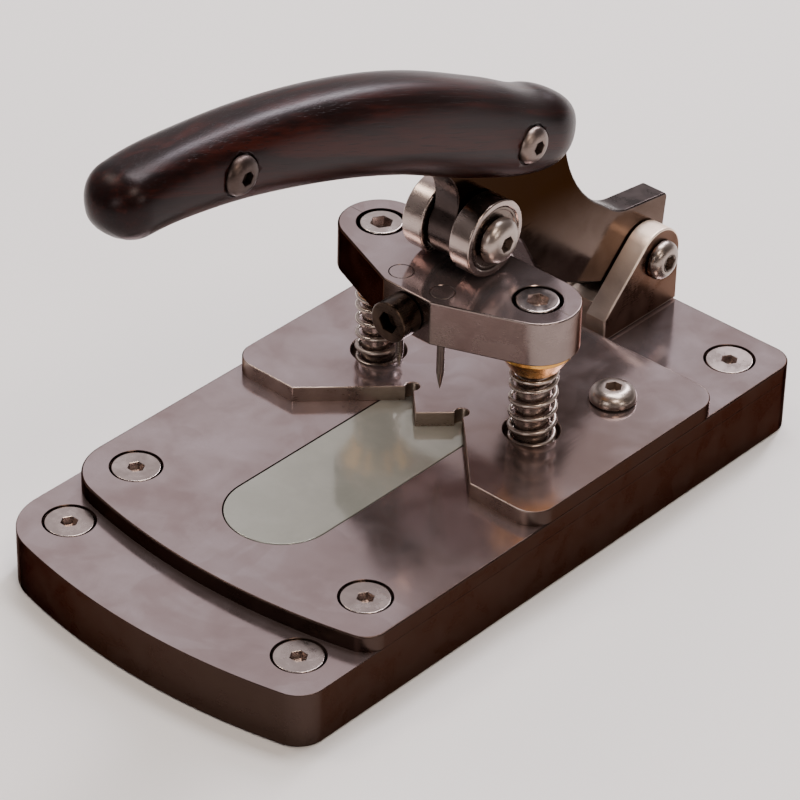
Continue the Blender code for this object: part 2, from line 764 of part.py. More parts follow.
def make_bushes(ram, finishes):
    """Flanged brass bushes that slide on the posts and stop under the cap heads."""
    inner = POST_RADIUS + BORE_GAP
    outer = inner + BUSH_WALL
    flange_top = FLANGE_LOW + BUSH_FLANGE
    foot = SPRING_RADIUS + SPRING_WIRE / 2
    profile = [
        (inner, FLANGE_LOW),
        (foot, FLANGE_LOW),
        (BUSH_FLANGE_RADIUS, flange_top - BUSH_RIM),
        (BUSH_FLANGE_RADIUS, flange_top),
        (outer, flange_top),
        (outer, CAP_HEAD_LOW - SEAT_GAP),
        (inner, CAP_HEAD_LOW - SEAT_GAP),
    ]
    for side, sign in SIDES.items():
        bush = moved(turned(profile, TURNED_SIDES), (sign * POST_X, POST_Y, 0.0))
        make_piece(f"guide_bush_{side}", bush, finishes["brass"], ram)


# Punch holder


def holder_outline():
    """Holder seen from above: a narrow nose spreading to a boss round each post."""
    nose_x = HOLDER_NOSE_WIDTH / 2
    touch = tangent_angle((nose_x, NOSE_Y), (POST_X, POST_Y), HOLDER_BOSS, 1)
    right = [(nose_x, NOSE_Y, HOLDER_NOSE_CORNER)]
    right += arc((POST_X, POST_Y), HOLDER_BOSS, touch, math.pi / 2)
    left = [(-corner[0], *corner[1:]) for corner in reversed(right)]
    return filleted([*right, *left])


def make_holder(ram, finishes):
    """Block that carries the needles, with a stepped bore for each post and its bush."""
    block = prism(holder_outline(), HOLDER_LOW, HOLDER_TOP)
    holder = make_piece("punch_holder", block, finishes["plate_steel"], ram)
    break_edges(holder)
    sleeve = POST_RADIUS + BORE_GAP + BUSH_WALL + BORE_GAP
    head = CAP_HEAD_RADIUS + HEAD_CLEARANCE
    step = CAP_HEAD_LOW - SEAT_GAP
    stepped = [
        (0.0, HOLDER_LOW - SEAT_GAP / 2),
        (sleeve, HOLDER_LOW - SEAT_GAP / 2),
        (sleeve, step),
        (head, step),
        (head, HOLDER_TOP + SEAT_GAP),
        (0.0, HOLDER_TOP + SEAT_GAP),
    ]
    needle_bore = plain_hole(NEEDLE_SHANK_RADIUS + BORE_GAP, HOLDER_LOW - SEAT_GAP, HOLDER_TOP + SEAT_GAP)
    bores = []
    for sign in SIDES.values():
        bores.append(moved(turned(stepped, TURNED_SIDES), (sign * POST_X, POST_Y, 0.0)))
        bores.append(moved(turned(needle_bore, BORE_SIDES), (sign * NEEDLE_X, NEEDLE_Y, 0.0)))
    cut(holder, make_cutter("holder_bores", joined(bores), ram))
    clamp = turned(plain_hole(THREAD_HOLE, -2 * SEAT_GAP, CLAMP_SCREW_LENGTH + SEAT_GAP), BORE_SIDES)
    backwards = Matrix.Rotation(-math.pi / 2, 4, "X")
    cut(holder, make_cutter("clamp_bore", moved(clamp, (0.0, NOSE_Y, CLAMP_Z), backwards), ram))


def make_needles(ram, finishes):
    """Needles, flush with the top of the holder, and the screw that clamps them."""
    tip = UPPER_TOP + NEEDLE_CLEARANCE + STROKE
    profile = [
        (0.0, tip),
        (NEEDLE_BLADE_RADIUS, tip + NEEDLE_TAPER),
        (NEEDLE_BLADE_RADIUS, HOLDER_LOW),
        (NEEDLE_SHANK_RADIUS, HOLDER_LOW),
        (NEEDLE_SHANK_RADIUS, HOLDER_TOP),
        (0.0, HOLDER_TOP),
    ]
    for side, sign in SIDES.items():
        needle = moved(turned(profile, SCREW_SIDES), (sign * NEEDLE_X, NEEDLE_Y, 0.0))
        make_piece(f"needle_{side}", needle, finishes["post_steel"], ram)
    forwards = Matrix.Rotation(math.pi / 2, 4, "X")
    place = (0.0, NOSE_Y - SEAT_GAP, CLAMP_Z)
    profile = cap_profile(CLAMP_SCREW_LENGTH)
    make_screw("needle_clamp_screw", profile, CAP_SOCKET, place, forwards, finishes["black_oxide"], ram)


# Pivot bracket


def make_bracket(root, finishes, bores):
    """Two ears with a round top and a sloped front, joined by a low web."""
    low = FENCE_LOW
    touch = math.radians(135.0)
    shoulder_y = PIVOT_Y + EAR_RADIUS * math.cos(touch)
    shoulder_z = PIVOT_Z + EAR_RADIUS * math.sin(touch)
    front_z = shoulder_z - (shoulder_y - BRACKET_FRONT)
    outline = [(BASE_REAR, low), (BRACKET_FRONT, low), (BRACKET_FRONT, front_z)]
    outline += arc((PIVOT_Y, PIVOT_Z), EAR_RADIUS, touch, 0.0)
    block = prism(outline, -EAR_OUTER, EAR_OUTER, "X")
    bracket = make_piece("pivot_bracket", block, finishes["plate_steel"], root)
    break_edges(bracket)
    web_y = BRACKET_FRONT + WEB_SETBACK
    web_end = web_y + WEB_LENGTH
    beyond = 2 * EAR_RADIUS
    slot = [
        (BRACKET_FRONT - EAR_RADIUS, low - SEAT_GAP / 2),
        (web_y, low - SEAT_GAP / 2),
        (web_y, low + WEB_RISE),
        (web_end, low + WEB_RISE),
        (web_end + WEB_SLOPE, low + BRACKET_FLOOR),
        (BASE_REAR + EAR_RADIUS, low + BRACKET_FLOOR),
        (BASE_REAR + EAR_RADIUS, PIVOT_Z + beyond),
        (BRACKET_FRONT - EAR_RADIUS, PIVOT_Z + beyond),
    ]
    pin_hole = plain_hole(PIN_RADIUS + BORE_GAP, -EAR_OUTER - SEAT_GAP, EAR_OUTER + SEAT_GAP)
    hole = moved(turned(pin_hole, TURNED_SIDES), LEVER_PLACE, along_x(1))
    slot_cutter = make_cutter("lever_slot", prism(slot, -EAR_INNER, EAR_INNER, "X"), root)
    cut(bracket, slot_cutter, make_cutter("pin_hole", hole, root), bores)
    head = BOLT_SINK - SEAT_GAP
    profile = cap_profile(FENCE_LOW + BRACKET_FLOOR - 3 * SEAT_GAP - head)
    upside_down = Matrix.Rotation(math.pi, 4, "X")
    steel = finishes["screw_steel"]
    for name, y in bracket_bolt_places():
        make_screw(f"bracket_bolt_{name}", profile, CAP_SOCKET, (0.0, y, head), upside_down, steel, root)


def make_pivot(root, lever, finishes):
    """Pin in the ears, a button screw at each end, and the bush in the lever's hub."""
    steel = finishes["screw_steel"]
    end = EAR_OUTER - PIN_INSET
    floor = end - PIN_SCREW_DEPTH - SEAT_GAP
    profile = [
        (0.0, -floor),
        (THREAD_HOLE, -floor),
        (THREAD_HOLE, -end),
        (PIN_RADIUS, -end),
        (PIN_RADIUS, end),
        (THREAD_HOLE, end),
        (THREAD_HOLE, floor),
        (0.0, floor),
    ]
    pin = moved(turned(profile, TURNED_SIDES), LEVER_PLACE, along_x(1))
    make_piece("pivot_pin", pin, finishes["post_steel"], root)
    for side, sign in SIDES.items():
        seat = EAR_OUTER + SEAT_GAP
        length = PIN_INSET + SEAT_GAP + PIN_SCREW_DEPTH
        screw = button_profile(length, PIN_SCREW_HEAD, PIN_SCREW_HEIGHT)
        place = (sign * seat, PIVOT_Y, PIVOT_Z)
        make_screw(f"pivot_screw_{side}", screw, FLAT_SOCKET, place, along_x(sign), steel, root)
    inner = PIN_RADIUS + BORE_GAP
    half = LEVER_THICKNESS / 2
    ring = [(inner, -half), (inner + HUB_BUSH_WALL, -half), (inner + HUB_BUSH_WALL, half), (inner, half)]
    bush = moved(turned(ring, TURNED_SIDES), LEVER_PLACE, along_x(1))
    make_piece("hub_bush", bush, finishes["brass"], lever)


# Grip and lever


def grip_section(reach):
    """Centre (y, z), upward normal, half height and half width of the grip at a reach."""
    table = np.array(GRIP_STATIONS)
    slopes = np.gradient(table[:, 1:], table[:, 0], axis=0)
    row = int(np.clip(np.searchsorted(table[:, 0], reach) - 1, 0, len(table) - 2))
    span = table[row + 1, 0] - table[row, 0]
    t = (reach - table[row, 0]) / span
    value = (2 * t**3 - 3 * t**2 + 1) * table[row, 1:] + (t**3 - 2 * t**2 + t) * span * slopes[row]
    value += (3 * t**2 - 2 * t**3) * table[row + 1, 1:] + (t**3 - t**2) * span * slopes[row + 1]
    rate = (6 * t**2 - 6 * t) * (table[row, 1] - table[row + 1, 1]) / span
    rate += (3 * t**2 - 4 * t + 1) * slopes[row, 0] + (3 * t**2 - 2 * t) * slopes[row + 1, 0]
    normal = Vector((rate, 1.0)).normalized()
    centre = Vector((PIVOT_Y - reach, PIVOT_Z + value[0]))
    return centre, normal, float(value[1]), float(value[2])


def end_factor(reach):
    """Share of the full section left where the grip's ends round off."""
    rear = (reach - GRIP_STATIONS[0][0]) / GRIP_REAR_ROUND
    tip = (GRIP_STATIONS[-1][0] - reach) / GRIP_TIP_ROUND
    depth = min(1.0, rear, tip)
    return math.sqrt(max(0.0, 1.0 - (1.0 - depth) ** 2))


def grip_reaches():
    """Where the grip's sections lie: evenly between the ends, closing up round each end."""
    rear = GRIP_STATIONS[0][0]
    tip = GRIP_STATIONS[-1][0]
    angles = [math.pi / 2 * step / GRIP_END_RINGS for step in range(1, GRIP_END_RINGS)]
    reaches = [rear + GRIP_REAR_ROUND * (1 - math.cos(a)) for a in angles]
    reaches += list(np.linspace(rear + GRIP_REAR_ROUND, tip - GRIP_TIP_ROUND, GRIP_RINGS))
    reaches += [tip - GRIP_TIP_ROUND * (1 - math.cos(a)) for a in reversed(angles)]
    return reaches


def grip_solid():
    """Loft of rounded sections along the grip's centre line, closed by a pole at each end."""
    solid = bmesh.new()
    rings = []
    for reach in grip_reaches():
        centre, normal, half_height, half_width = grip_section(reach)
        share = end_factor(reach)
        ring = []
        for side in range(GRIP_SIDES):
            angle = 2 * math.pi * (side + 0.5) / GRIP_SIDES
            across = math.copysign(abs(math.cos(angle)) ** (2 / GRIP_SQUARENESS), math.cos(angle))
            up = math.copysign(abs(math.sin(angle)) ** (2 / GRIP_SQUARENESS), math.sin(angle))
            place = centre + normal * up * half_height * share
            ring.append(solid.verts.new((across * half_width * share, place.x, place.y)))
        rings.append(ring)
    for ring, following in zip(rings, rings[1:]):
        for side in range(GRIP_SIDES):
            solid.faces.new((ring[side - 1], ring[side], following[side], following[side - 1]))
    for ring, reach in ((rings[0], GRIP_STATIONS[0][0]), (rings[-1], GRIP_STATIONS[-1][0])):
        centre = grip_section(reach)[0]
        pole = solid.verts.new((0.0, centre.x, centre.y))
        for side in range(GRIP_SIDES):
            solid.faces.new((ring[side - 1], ring[side], pole))
    bmesh.ops.recalc_face_normals(solid, faces=solid.faces)
    return solid


def from_pivot(corner):
    """Point in the lever's plane from its reach before the pivot and its rise above it."""
    return (PIVOT_Y - corner[0], PIVOT_Z + corner[1])


def grip_edge(first, last, steps, upper, extra=0.0):
    """Points along the tang's upper or lower edge between two reaches."""
    points = []
    for reach in np.linspace(first, last, steps + 1):
        centre, normal, half_height, _ = grip_section(reach)
        offset = half_height - WOOD_OVER_TANG + extra if upper else TANG_RECESS - half_height - extra
        place = centre + normal * offset
        points.append((place.x, place.y))
    return points


def lever_outline():
    """Side view of the lever: tang, front edge, nose, belly, hub, tail and back."""
    front_y = FRONT_EDGE_REACH
    lower = grip_edge(TANG_REACH, front_y, 9, upper=False)
    nose = (ROLLER_Y, ROLLER_Z)
    nose_arc = arc(nose, NOSE_RADIUS, math.radians(140.0), math.radians(270.0))
    waist = (ROLLER_Y - FRONT_EDGE_WAIST[0], ROLLER_Z + FRONT_EDGE_WAIST[1])
    front = arc_through(lower[-1], waist, nose_arc[0], 6)
    hub = (PIVOT_Y, PIVOT_Z)
    knee = from_pivot(KNEE)
    hub_start = tangent_angle(knee, hub, HUB_RADIUS, 1)
    hub_arc = arc(hub, HUB_RADIUS, hub_start, 2 * math.pi)
    back = arc_through(from_pivot(BACK_LOW), from_pivot(BACK_MIDDLE), from_pivot(BACK_TOP), 6)
    upper = grip_edge(TANG_REAR, TANG_REACH, 11, upper=True)
    corners = lower[:-1] + front[:-1] + nose_arc
    corners += [(PIVOT_Y - BELLY_REACH, ROLLER_Z - NOSE_RADIUS, BELLY_RADIUS), (*knee, KNEE_RADIUS)]
    corners += hub_arc + [(*from_pivot(TAIL_CORNER), TAIL_RADIUS), (*from_pivot(BACK_STEP), BACK_STEP_RADIUS)]
    corners += back + upper
    return filleted(corners)


def slot_outline():
    """Slot in the grip: round the tang with a gap, and open below and behind."""
    deep = 0.006
    reach = TANG_REACH + SEAT_GAP
    upper = grip_edge(TANG_REAR, reach, 11, upper=True, extra=SEAT_GAP)
    lower = grip_edge(reach, GRIP_STATIONS[0][0], 9, upper=False, extra=deep)
    corner = Vector(grip_edge(TANG_REAR, reach, 1, upper=True)[0])
    top = Vector(from_pivot(BACK_TOP))
    along = (top - corner).normalized()
    outward = Vector((-along.y, along.x))
    mouth = top + along * deep + outward * SEAT_GAP
    heel = corner + outward * SEAT_GAP - along * SEAT_GAP
    return [*upper, *lower, tuple(mouth), tuple(heel)]


def make_lever(lever, finishes):
    """Steel lever plate, with bores for the hub bush, the roller screws and the grip screws."""
    half = LEVER_THICKNESS / 2
    plate = make_piece("lever", prism(lever_outline(), -half, half, "X"), finishes["lever_steel"], lever)
    places = [(HUB_HOLE, PIVOT_Y, PIVOT_Z), (THREAD_HOLE, ROLLER_Y, ROLLER_Z)]
    for reach in GRIP_SCREW_REACHES.values():
        centre = grip_section(reach)[0]
        places.append((sleeve_hole(), centre.x, centre.y))
    bores = []
    for radius, y, z in places:
        bore = turned(plain_hole(radius, -half - SEAT_GAP, half + SEAT_GAP), BORE_SIDES)
        bores.append(moved(bore, (0.0, y, z), along_x(1)))
    cut(plate, make_cutter("lever_bores", joined(bores), lever))


def sleeve_hole():
    """Radius of the hole for a sleeve nut."""
    return GRIP_SCREW_THREAD + BORE_GAP + SLEEVE_WALL + BORE_GAP


def make_grip(lever, finishes):
    """Wooden grip with the slot of the tang and the holes of its two screws."""
    grip = make_piece("handle_grip", grip_solid(), finishes["rosewood"], lever)
    slot = prism(slot_outline(), -EAR_INNER, EAR_INNER, "X")
    holes = []
    for reach in GRIP_SCREW_REACHES.values():
        centre, _, _, half_width = grip_section(reach)
        floor = half_width - GRIP_SPOT_DEPTH
        spot = GRIP_SCREW_HEAD + BORE_GAP
        outside = half_width + GRIP_SCREW_HEIGHT
        profile = [
            (0.0, -outside),
            (spot, -outside),
            (spot, -floor),
            (sleeve_hole(), -floor),
            (sleeve_hole(), floor),
            (spot, floor),
            (spot, outside),
            (0.0, outside),
        ]
        holes.append(moved(turned(profile, BORE_SIDES), (0.0, centre.x, centre.y), along_x(1)))
    slot_cutter = make_cutter("grip_slot", slot, lever)
    cut(grip, slot_cutter, make_cutter("grip_holes", joined(holes), lever))


def make_grip_screws(lever, finishes):
    """Button screw from the right and sleeve nut from the left, at both ends of the tang."""
    for name, reach in GRIP_SCREW_REACHES.items():
        centre, _, _, half_width = grip_section(reach)
        seat = half_width - GRIP_SPOT_DEPTH + SEAT_GAP
        place = (seat, centre.x, centre.y)
        length = 2 * seat - SLEEVE_HEAD
        profile = button_profile(length, GRIP_SCREW_HEAD, GRIP_SCREW_HEIGHT, GRIP_SCREW_THREAD)
        socket = GRIP_SCREW_SOCKET
        make_screw(f"handle_screw_{name}", profile, socket, place, along_x(1), finishes["screw_steel"], lever)
        inner = GRIP_SCREW_THREAD + BORE_GAP
        outer = inner + SLEEVE_WALL
        sleeve = 2 * seat - SEAT_GAP
        nut = [
            (0.0, -SEAT_GAP),
            (inner, -SEAT_GAP),
            (inner, -sleeve),
            (outer, -sleeve),
            (outer, 0.0),
            (GRIP_SCREW_HEAD, 0.0),
            (GRIP_SCREW_HEAD, SLEEVE_HEAD),
            (0.0, SLEEVE_HEAD),
        ]
        solid = moved(turned(nut, SCREW_SIDES), (-seat, centre.x, centre.y), along_x(-1))
        make_piece(f"handle_nut_{name}", solid, finishes["screw_steel"], lever)


# Rollers


def roller_ring(inner, outer, low, high, broken=0.0):
    """Profile of a bearing ring, with its outer rims broken."""
    rims = [(outer - broken, low), (outer, low + broken), (outer, high - broken), (outer - broken, high)]
    if not broken:
        rims = [(outer, low), (outer, high)]
    return [(inner, low), *rims, (inner, high)]


def ball_ring(middle):
    """Cage with its balls, as one solid about Z."""
    ring = roller_ring(middle - ROLLER_CAGE, middle + ROLLER_CAGE, -ROLLER_CAGE, ROLLER_CAGE)
    cage = turned(ring, SCREW_SIDES)
    balls = []
    for index in range(ROLLER_BALLS):
        ball = bmesh.new()
        bmesh.ops.create_icosphere(ball, subdivisions=1, radius=ROLLER_BALL_RADIUS)
        angle = 2 * math.pi * index / ROLLER_BALLS
        balls.append(moved(ball, (middle * math.cos(angle), middle * math.sin(angle), 0.0)))
    return cage, joined(balls)


def make_roller(side, sign, lever, finishes):
    """One ball bearing on its button screw beside the lever's nose."""
    inner_face = LEVER_THICKNESS / 2 + SEAT_GAP
    low = LEVER_THICKNESS / 2 + ROLLER_SIDE_GAP
    high = low + ROLLER_WIDTH
    place = Vector((0.0, ROLLER_Y, ROLLER_Z))
    outward = along_x(sign)
    roller = make_carrier(f"roller_{side}", (sign * (low + high) / 2, ROLLER_Y, ROLLER_Z), lever)
    steel = finishes["post_steel"]
    ring_inner = ROLLER_RADIUS - ROLLER_RING_WALL
    hub_outer = THREAD_HOLE + ROLLER_INNER_WALL
    outer_ring = turned(roller_ring(ring_inner, ROLLER_RADIUS, low, high, EDGE_BREAK), RING_SIDES)
    make_piece(f"bearing_outer_{side}", moved(outer_ring, place, outward), steel, roller)
    inner_ring = turned(roller_ring(THREAD_HOLE, hub_outer, inner_face, high), TURNED_SIDES)
    make_piece(f"bearing_inner_{side}", moved(inner_ring, place, outward), steel, lever)
    shield_in = hub_outer + BORE_GAP
    shield_out = ring_inner - BORE_GAP
    faces = {"inner": low + SHIELD_SINK, "outer": high - SHIELD_SINK - SHIELD_THICKNESS}
    for face, start in faces.items():
        ring = roller_ring(shield_in, shield_out, start, start + SHIELD_THICKNESS)
        shield = moved(turned(ring, TURNED_SIDES), place, outward)
        make_piece(f"bearing_shield_{face}_{side}", shield, finishes["spring_steel"], roller)
    middle = place + Vector((sign * (low + high) / 2, 0.0, 0.0))
    cage, balls = ball_ring((hub_outer + ring_inner) / 2)
    cage_piece = make_piece(f"bearing_balls_{side}", moved(cage, middle, outward), steel, lever)
    fuse(cage_piece, make_cutter(f"balls_{side}", moved(balls, middle, outward), lever))
    seat = high + SEAT_GAP
    profile = button_profile(seat - SEAT_GAP)
    screw_place = place + Vector((sign * seat, 0.0, 0.0))
    screw_steel = finishes["screw_steel"]
    make_screw(f"roller_screw_{side}", profile, FLAT_SOCKET, screw_place, outward, screw_steel, lever)


def main():
    """Clear the scene and build the press."""
    for leftover in list(bpy.data.objects):
        bpy.data.objects.remove(leftover, do_unlink=True)
    finishes = make_finishes()
    root = make_carrier("frame", (0.0, 0.0, 0.0))
    lever = make_carrier("lever_carrier", LEVER_PLACE, root)
    ram = make_carrier("ram_carrier", RAM_PLACE, root)
    bores = make_stack_bores(root)
    make_base(root, finishes, bores)
    make_upper_plate(root, finishes, bores)
    make_fence(root, finishes, bores)
    make_plate_screws(root, finishes)
    make_posts(root, finishes)
    make_springs(root, finishes)
    make_bushes(ram, finishes)
    make_holder(ram, finishes)
    make_needles(ram, finishes)
    make_bracket(root, finishes, bores)
    make_pivot(root, lever, finishes)
    make_lever(lever, finishes)
    make_grip(lever, finishes)
    make_grip_screws(lever, finishes)
    for side, sign in SIDES.items():
        make_roller(side, sign, lever, finishes)


main()
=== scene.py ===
"""Looks of a strap hole punch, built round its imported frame.

Units are metres, with +Z up. The origin lies on the bench under the middle of the base, the
grip points towards -Y, and right means +X. Every piece is a surface worked out with numpy in
its own (u, v, w) coordinates, and an Axis says which way its w points in the frame.
"""

import logging
import math
from collections.abc import Iterable, Sequence
from dataclasses import dataclass, field
from enum import Enum

import bmesh
import bpy
import numpy as np
from mathutils import Matrix, Vector, geometry


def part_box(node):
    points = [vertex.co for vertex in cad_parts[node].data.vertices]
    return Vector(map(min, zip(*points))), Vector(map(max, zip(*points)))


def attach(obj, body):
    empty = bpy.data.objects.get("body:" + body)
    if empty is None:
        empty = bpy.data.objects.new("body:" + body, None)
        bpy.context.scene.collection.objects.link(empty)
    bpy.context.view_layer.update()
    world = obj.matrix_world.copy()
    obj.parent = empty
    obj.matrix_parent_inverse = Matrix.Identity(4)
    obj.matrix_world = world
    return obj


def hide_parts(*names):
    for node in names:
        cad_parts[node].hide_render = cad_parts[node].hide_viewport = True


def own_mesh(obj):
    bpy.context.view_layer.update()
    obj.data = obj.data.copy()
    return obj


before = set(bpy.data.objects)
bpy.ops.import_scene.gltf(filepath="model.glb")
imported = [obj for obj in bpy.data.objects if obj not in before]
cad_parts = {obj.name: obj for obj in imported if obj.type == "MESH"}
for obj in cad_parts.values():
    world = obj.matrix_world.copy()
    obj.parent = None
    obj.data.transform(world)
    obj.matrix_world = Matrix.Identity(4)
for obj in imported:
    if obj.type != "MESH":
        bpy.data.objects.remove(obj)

Array = np.ndarray
Corner = tuple[float, ...]
Pair = tuple[float, float]
Point = tuple[float, float, float]
Colour = tuple[float, float, float]
Piece = bpy.types.Object
Socket = bpy.types.NodeSocket

LOG = logging.getLogger("strap_hole_punch")
ARC_STEP = math.radians(6.0)
EDGE_STEPS = 4
BALL_STEPS = 5
ROUND_SIDES = 72
MOUTH = 0.00012
WELD = 1e-7
NO_WIDTH = 1e-9
SEAT = 0.0003
SHARP = math.radians(38.0)


class Axis(Enum):
    """Where a piece's u, v and w directions point in the frame."""

    UP = ((1, 0, 0), (0, 1, 0), (0, 0, 1))
    DOWN = ((1, 0, 0), (0, -1, 0), (0, 0, -1))
    RIGHT = ((0, 1, 0), (0, 0, 1), (1, 0, 0))
    LEFT = ((0, 1, 0), (0, 0, -1), (-1, 0, 0))
    FORWARD = ((1, 0, 0), (0, 0, 1), (0, -1, 0))

    def place(self, points: Array, origin: Sequence[float]) -> Array:
        """Points turned to the axis and moved to an origin."""
        return points @ np.array(self.value, float) + np.array(origin, float)


class Side(Enum):
    """Side of the press, with its sign along X."""

    LEFT = -1
    RIGHT = 1

    @property
    def label(self) -> str:
        """Side as it stands in a node's name."""
        return self.name.lower()

    @property
    def outward(self) -> Axis:
        """Axis that points away from the lever."""
        return Axis.RIGHT if self is Side.RIGHT else Axis.LEFT


@dataclass(frozen=True)
class Box:
    """Room of a CAD node at rest."""

    low: Vector
    high: Vector

    @classmethod
    def of(cls, node: str) -> "Box":
        """Box of a node by name."""
        return cls(*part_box(node))

    def seated(self) -> "Box":
        """Box whose underside comes down onto the piece that carries it."""
        return Box(self.low - Vector((0.0, 0.0, SEAT)), self.high)

    @property
    def centre(self) -> Vector:
        """Middle of the box."""
        return (self.low + self.high) / 2

    @property
    def size(self) -> Vector:
        """Lengths of the box's sides."""
        return self.high - self.low


# Outlines in a plane


def arc(centre: Sequence[float], radius: float, start: float, end: float) -> Array:
    """Points of an arc: the centre plus the radius times the cosine and sine of even angles.

    Args:
        centre: Middle of the arc.
        radius: Radius of the arc.
        start: First angle, in radians.
        end: Last angle, in radians.

    Returns:
        Points as rows, both ends included.
    """
    count = max(2, math.ceil(abs(end - start) / ARC_STEP)) + 1
    angle = np.linspace(start, end, count)
    return np.stack([centre[0] + radius * np.cos(angle), centre[1] + radius * np.sin(angle)], axis=1)


def arc_through(first: Sequence[float], middle: Sequence[float], last: Sequence[float]) -> Array:
    """Points of the arc through three points, whose centre is as far from each of them.

    Args:
        first: Start of the arc.
        middle: Any point on it.
        last: End of the arc.

    Returns:
        Points as rows, both ends included.
    """
    a, b, c = (np.array(point, float) for point in (first, middle, last))
    pull = np.array([b - a, c - a])
    centre = np.linalg.solve(pull, [(b @ b - a @ a) / 2, (c @ c - a @ a) / 2])
    radius = float(np.linalg.norm(a - centre))
    start = math.atan2(a[1] - centre[1], a[0] - centre[0])
    turn = math.atan2(c[1] - centre[1], c[0] - centre[0]) - start
    sense = math.copysign(1.0, float(np.linalg.det(pull)))
    if turn * sense < 0:
        turn += sense * 2 * math.pi
    return arc(centre, radius, start, start + turn)


def rounded(corners: Sequence[Corner], closed: bool = True) -> Array:
    """Line through corners, where a third number is the radius that a corner is rounded to.

    Args:
        corners: (u, v) points and (u, v, radius) corners, in order.
        closed: Whether the last corner joins the first.

    Returns:
        Points as rows.
    """
    points = []
    for index, corner in enumerate(corners):
        here = Vector(corner[:2])
        if len(corner) == 2 or not closed and index in (0, len(corners) - 1):
            points.append(np.array([here]))
            continue
        before = (Vector(corners[index - 1][:2]) - here).normalized()
        after = (Vector(corners[(index + 1) % len(corners)][:2]) - here).normalized()
        half = before.angle(after) / 2
        middle = here + (before + after).normalized() * corner[2] / math.sin(half)
        start = here + before * corner[2] / math.tan(half) - middle
        end = here + after * corner[2] / math.tan(half) - middle
        first = math.atan2(start.y, start.x)
        turn = (math.atan2(end.y, end.x) - first + math.pi) % (2 * math.pi) - math.pi
        points.append(arc(middle, corner[2], first, first + turn))
    return np.vstack(points)


def circle(centre: Sequence[float], radius: float, sides: int) -> Array:
    """Closed ring of points round a centre."""
    angle = np.linspace(0.0, 2 * math.pi, sides, endpoint=False)
    return np.stack([centre[0] + radius * np.cos(angle), centre[1] + radius * np.sin(angle)], axis=1)


def mirrored(corners: Sequence[Corner]) -> list[Corner]:
    """Right half of an outline, from front to rear, with its left half added."""
    return [*corners, *((-corner[0], *corner[1:]) for corner in reversed(corners))]


def outward_steps(outline: Array) -> Array:
    """Step that carries each point of an outline out by one unit.

    It is the sum of the two edges' outward normals, over one plus their dot product.

    Args:
        outline: Closed outline, as rows of (u, v).

    Returns:
        A step for each point, as rows.
    """
    ahead = np.roll(outline, -1, axis=0) - outline
    ahead /= np.linalg.norm(ahead, axis=1, keepdims=True)
    normal = np.stack([ahead[:, 1], -ahead[:, 0]], axis=1)
    before = np.roll(normal, 1, axis=0)
    return (normal + before) / (1.0 + np.sum(normal * before, axis=1, keepdims=True))


def carried(outline: Array, offsets: Array, heights: Array) -> Array:
    """Surface of an outline carried down a wall: row s is the outline moved out by offset(s), at height(s).

    Args:
        outline: Closed outline, as rows of (u, v).
        offsets: Outward offset of each row.
        heights: Height of each row.

    Returns:
        Grid of points, rows by outline points by three.
    """
    ahead = np.roll(outline, -1, axis=0)
    if np.sum(outline[:, 0] * ahead[:, 1] - outline[:, 1] * ahead[:, 0]) < 0:
        outline = outline[::-1]
    flat = outline[None] + offsets[:, None, None] * outward_steps(outline)[None]
    level = np.broadcast_to(heights[:, None, None], (*flat.shape[:2], 1))
    return np.concatenate([flat, level], axis=2)


def eased(edge: float) -> tuple[Array, Array]:
    """Offset and drop of the rows that round an edge from a face into a wall."""
    turn = np.linspace(0.0, math.pi / 2, EDGE_STEPS + 1)
    return edge * (np.sin(turn) - 1.0), edge * (1.0 - np.cos(turn))


# Surfaces


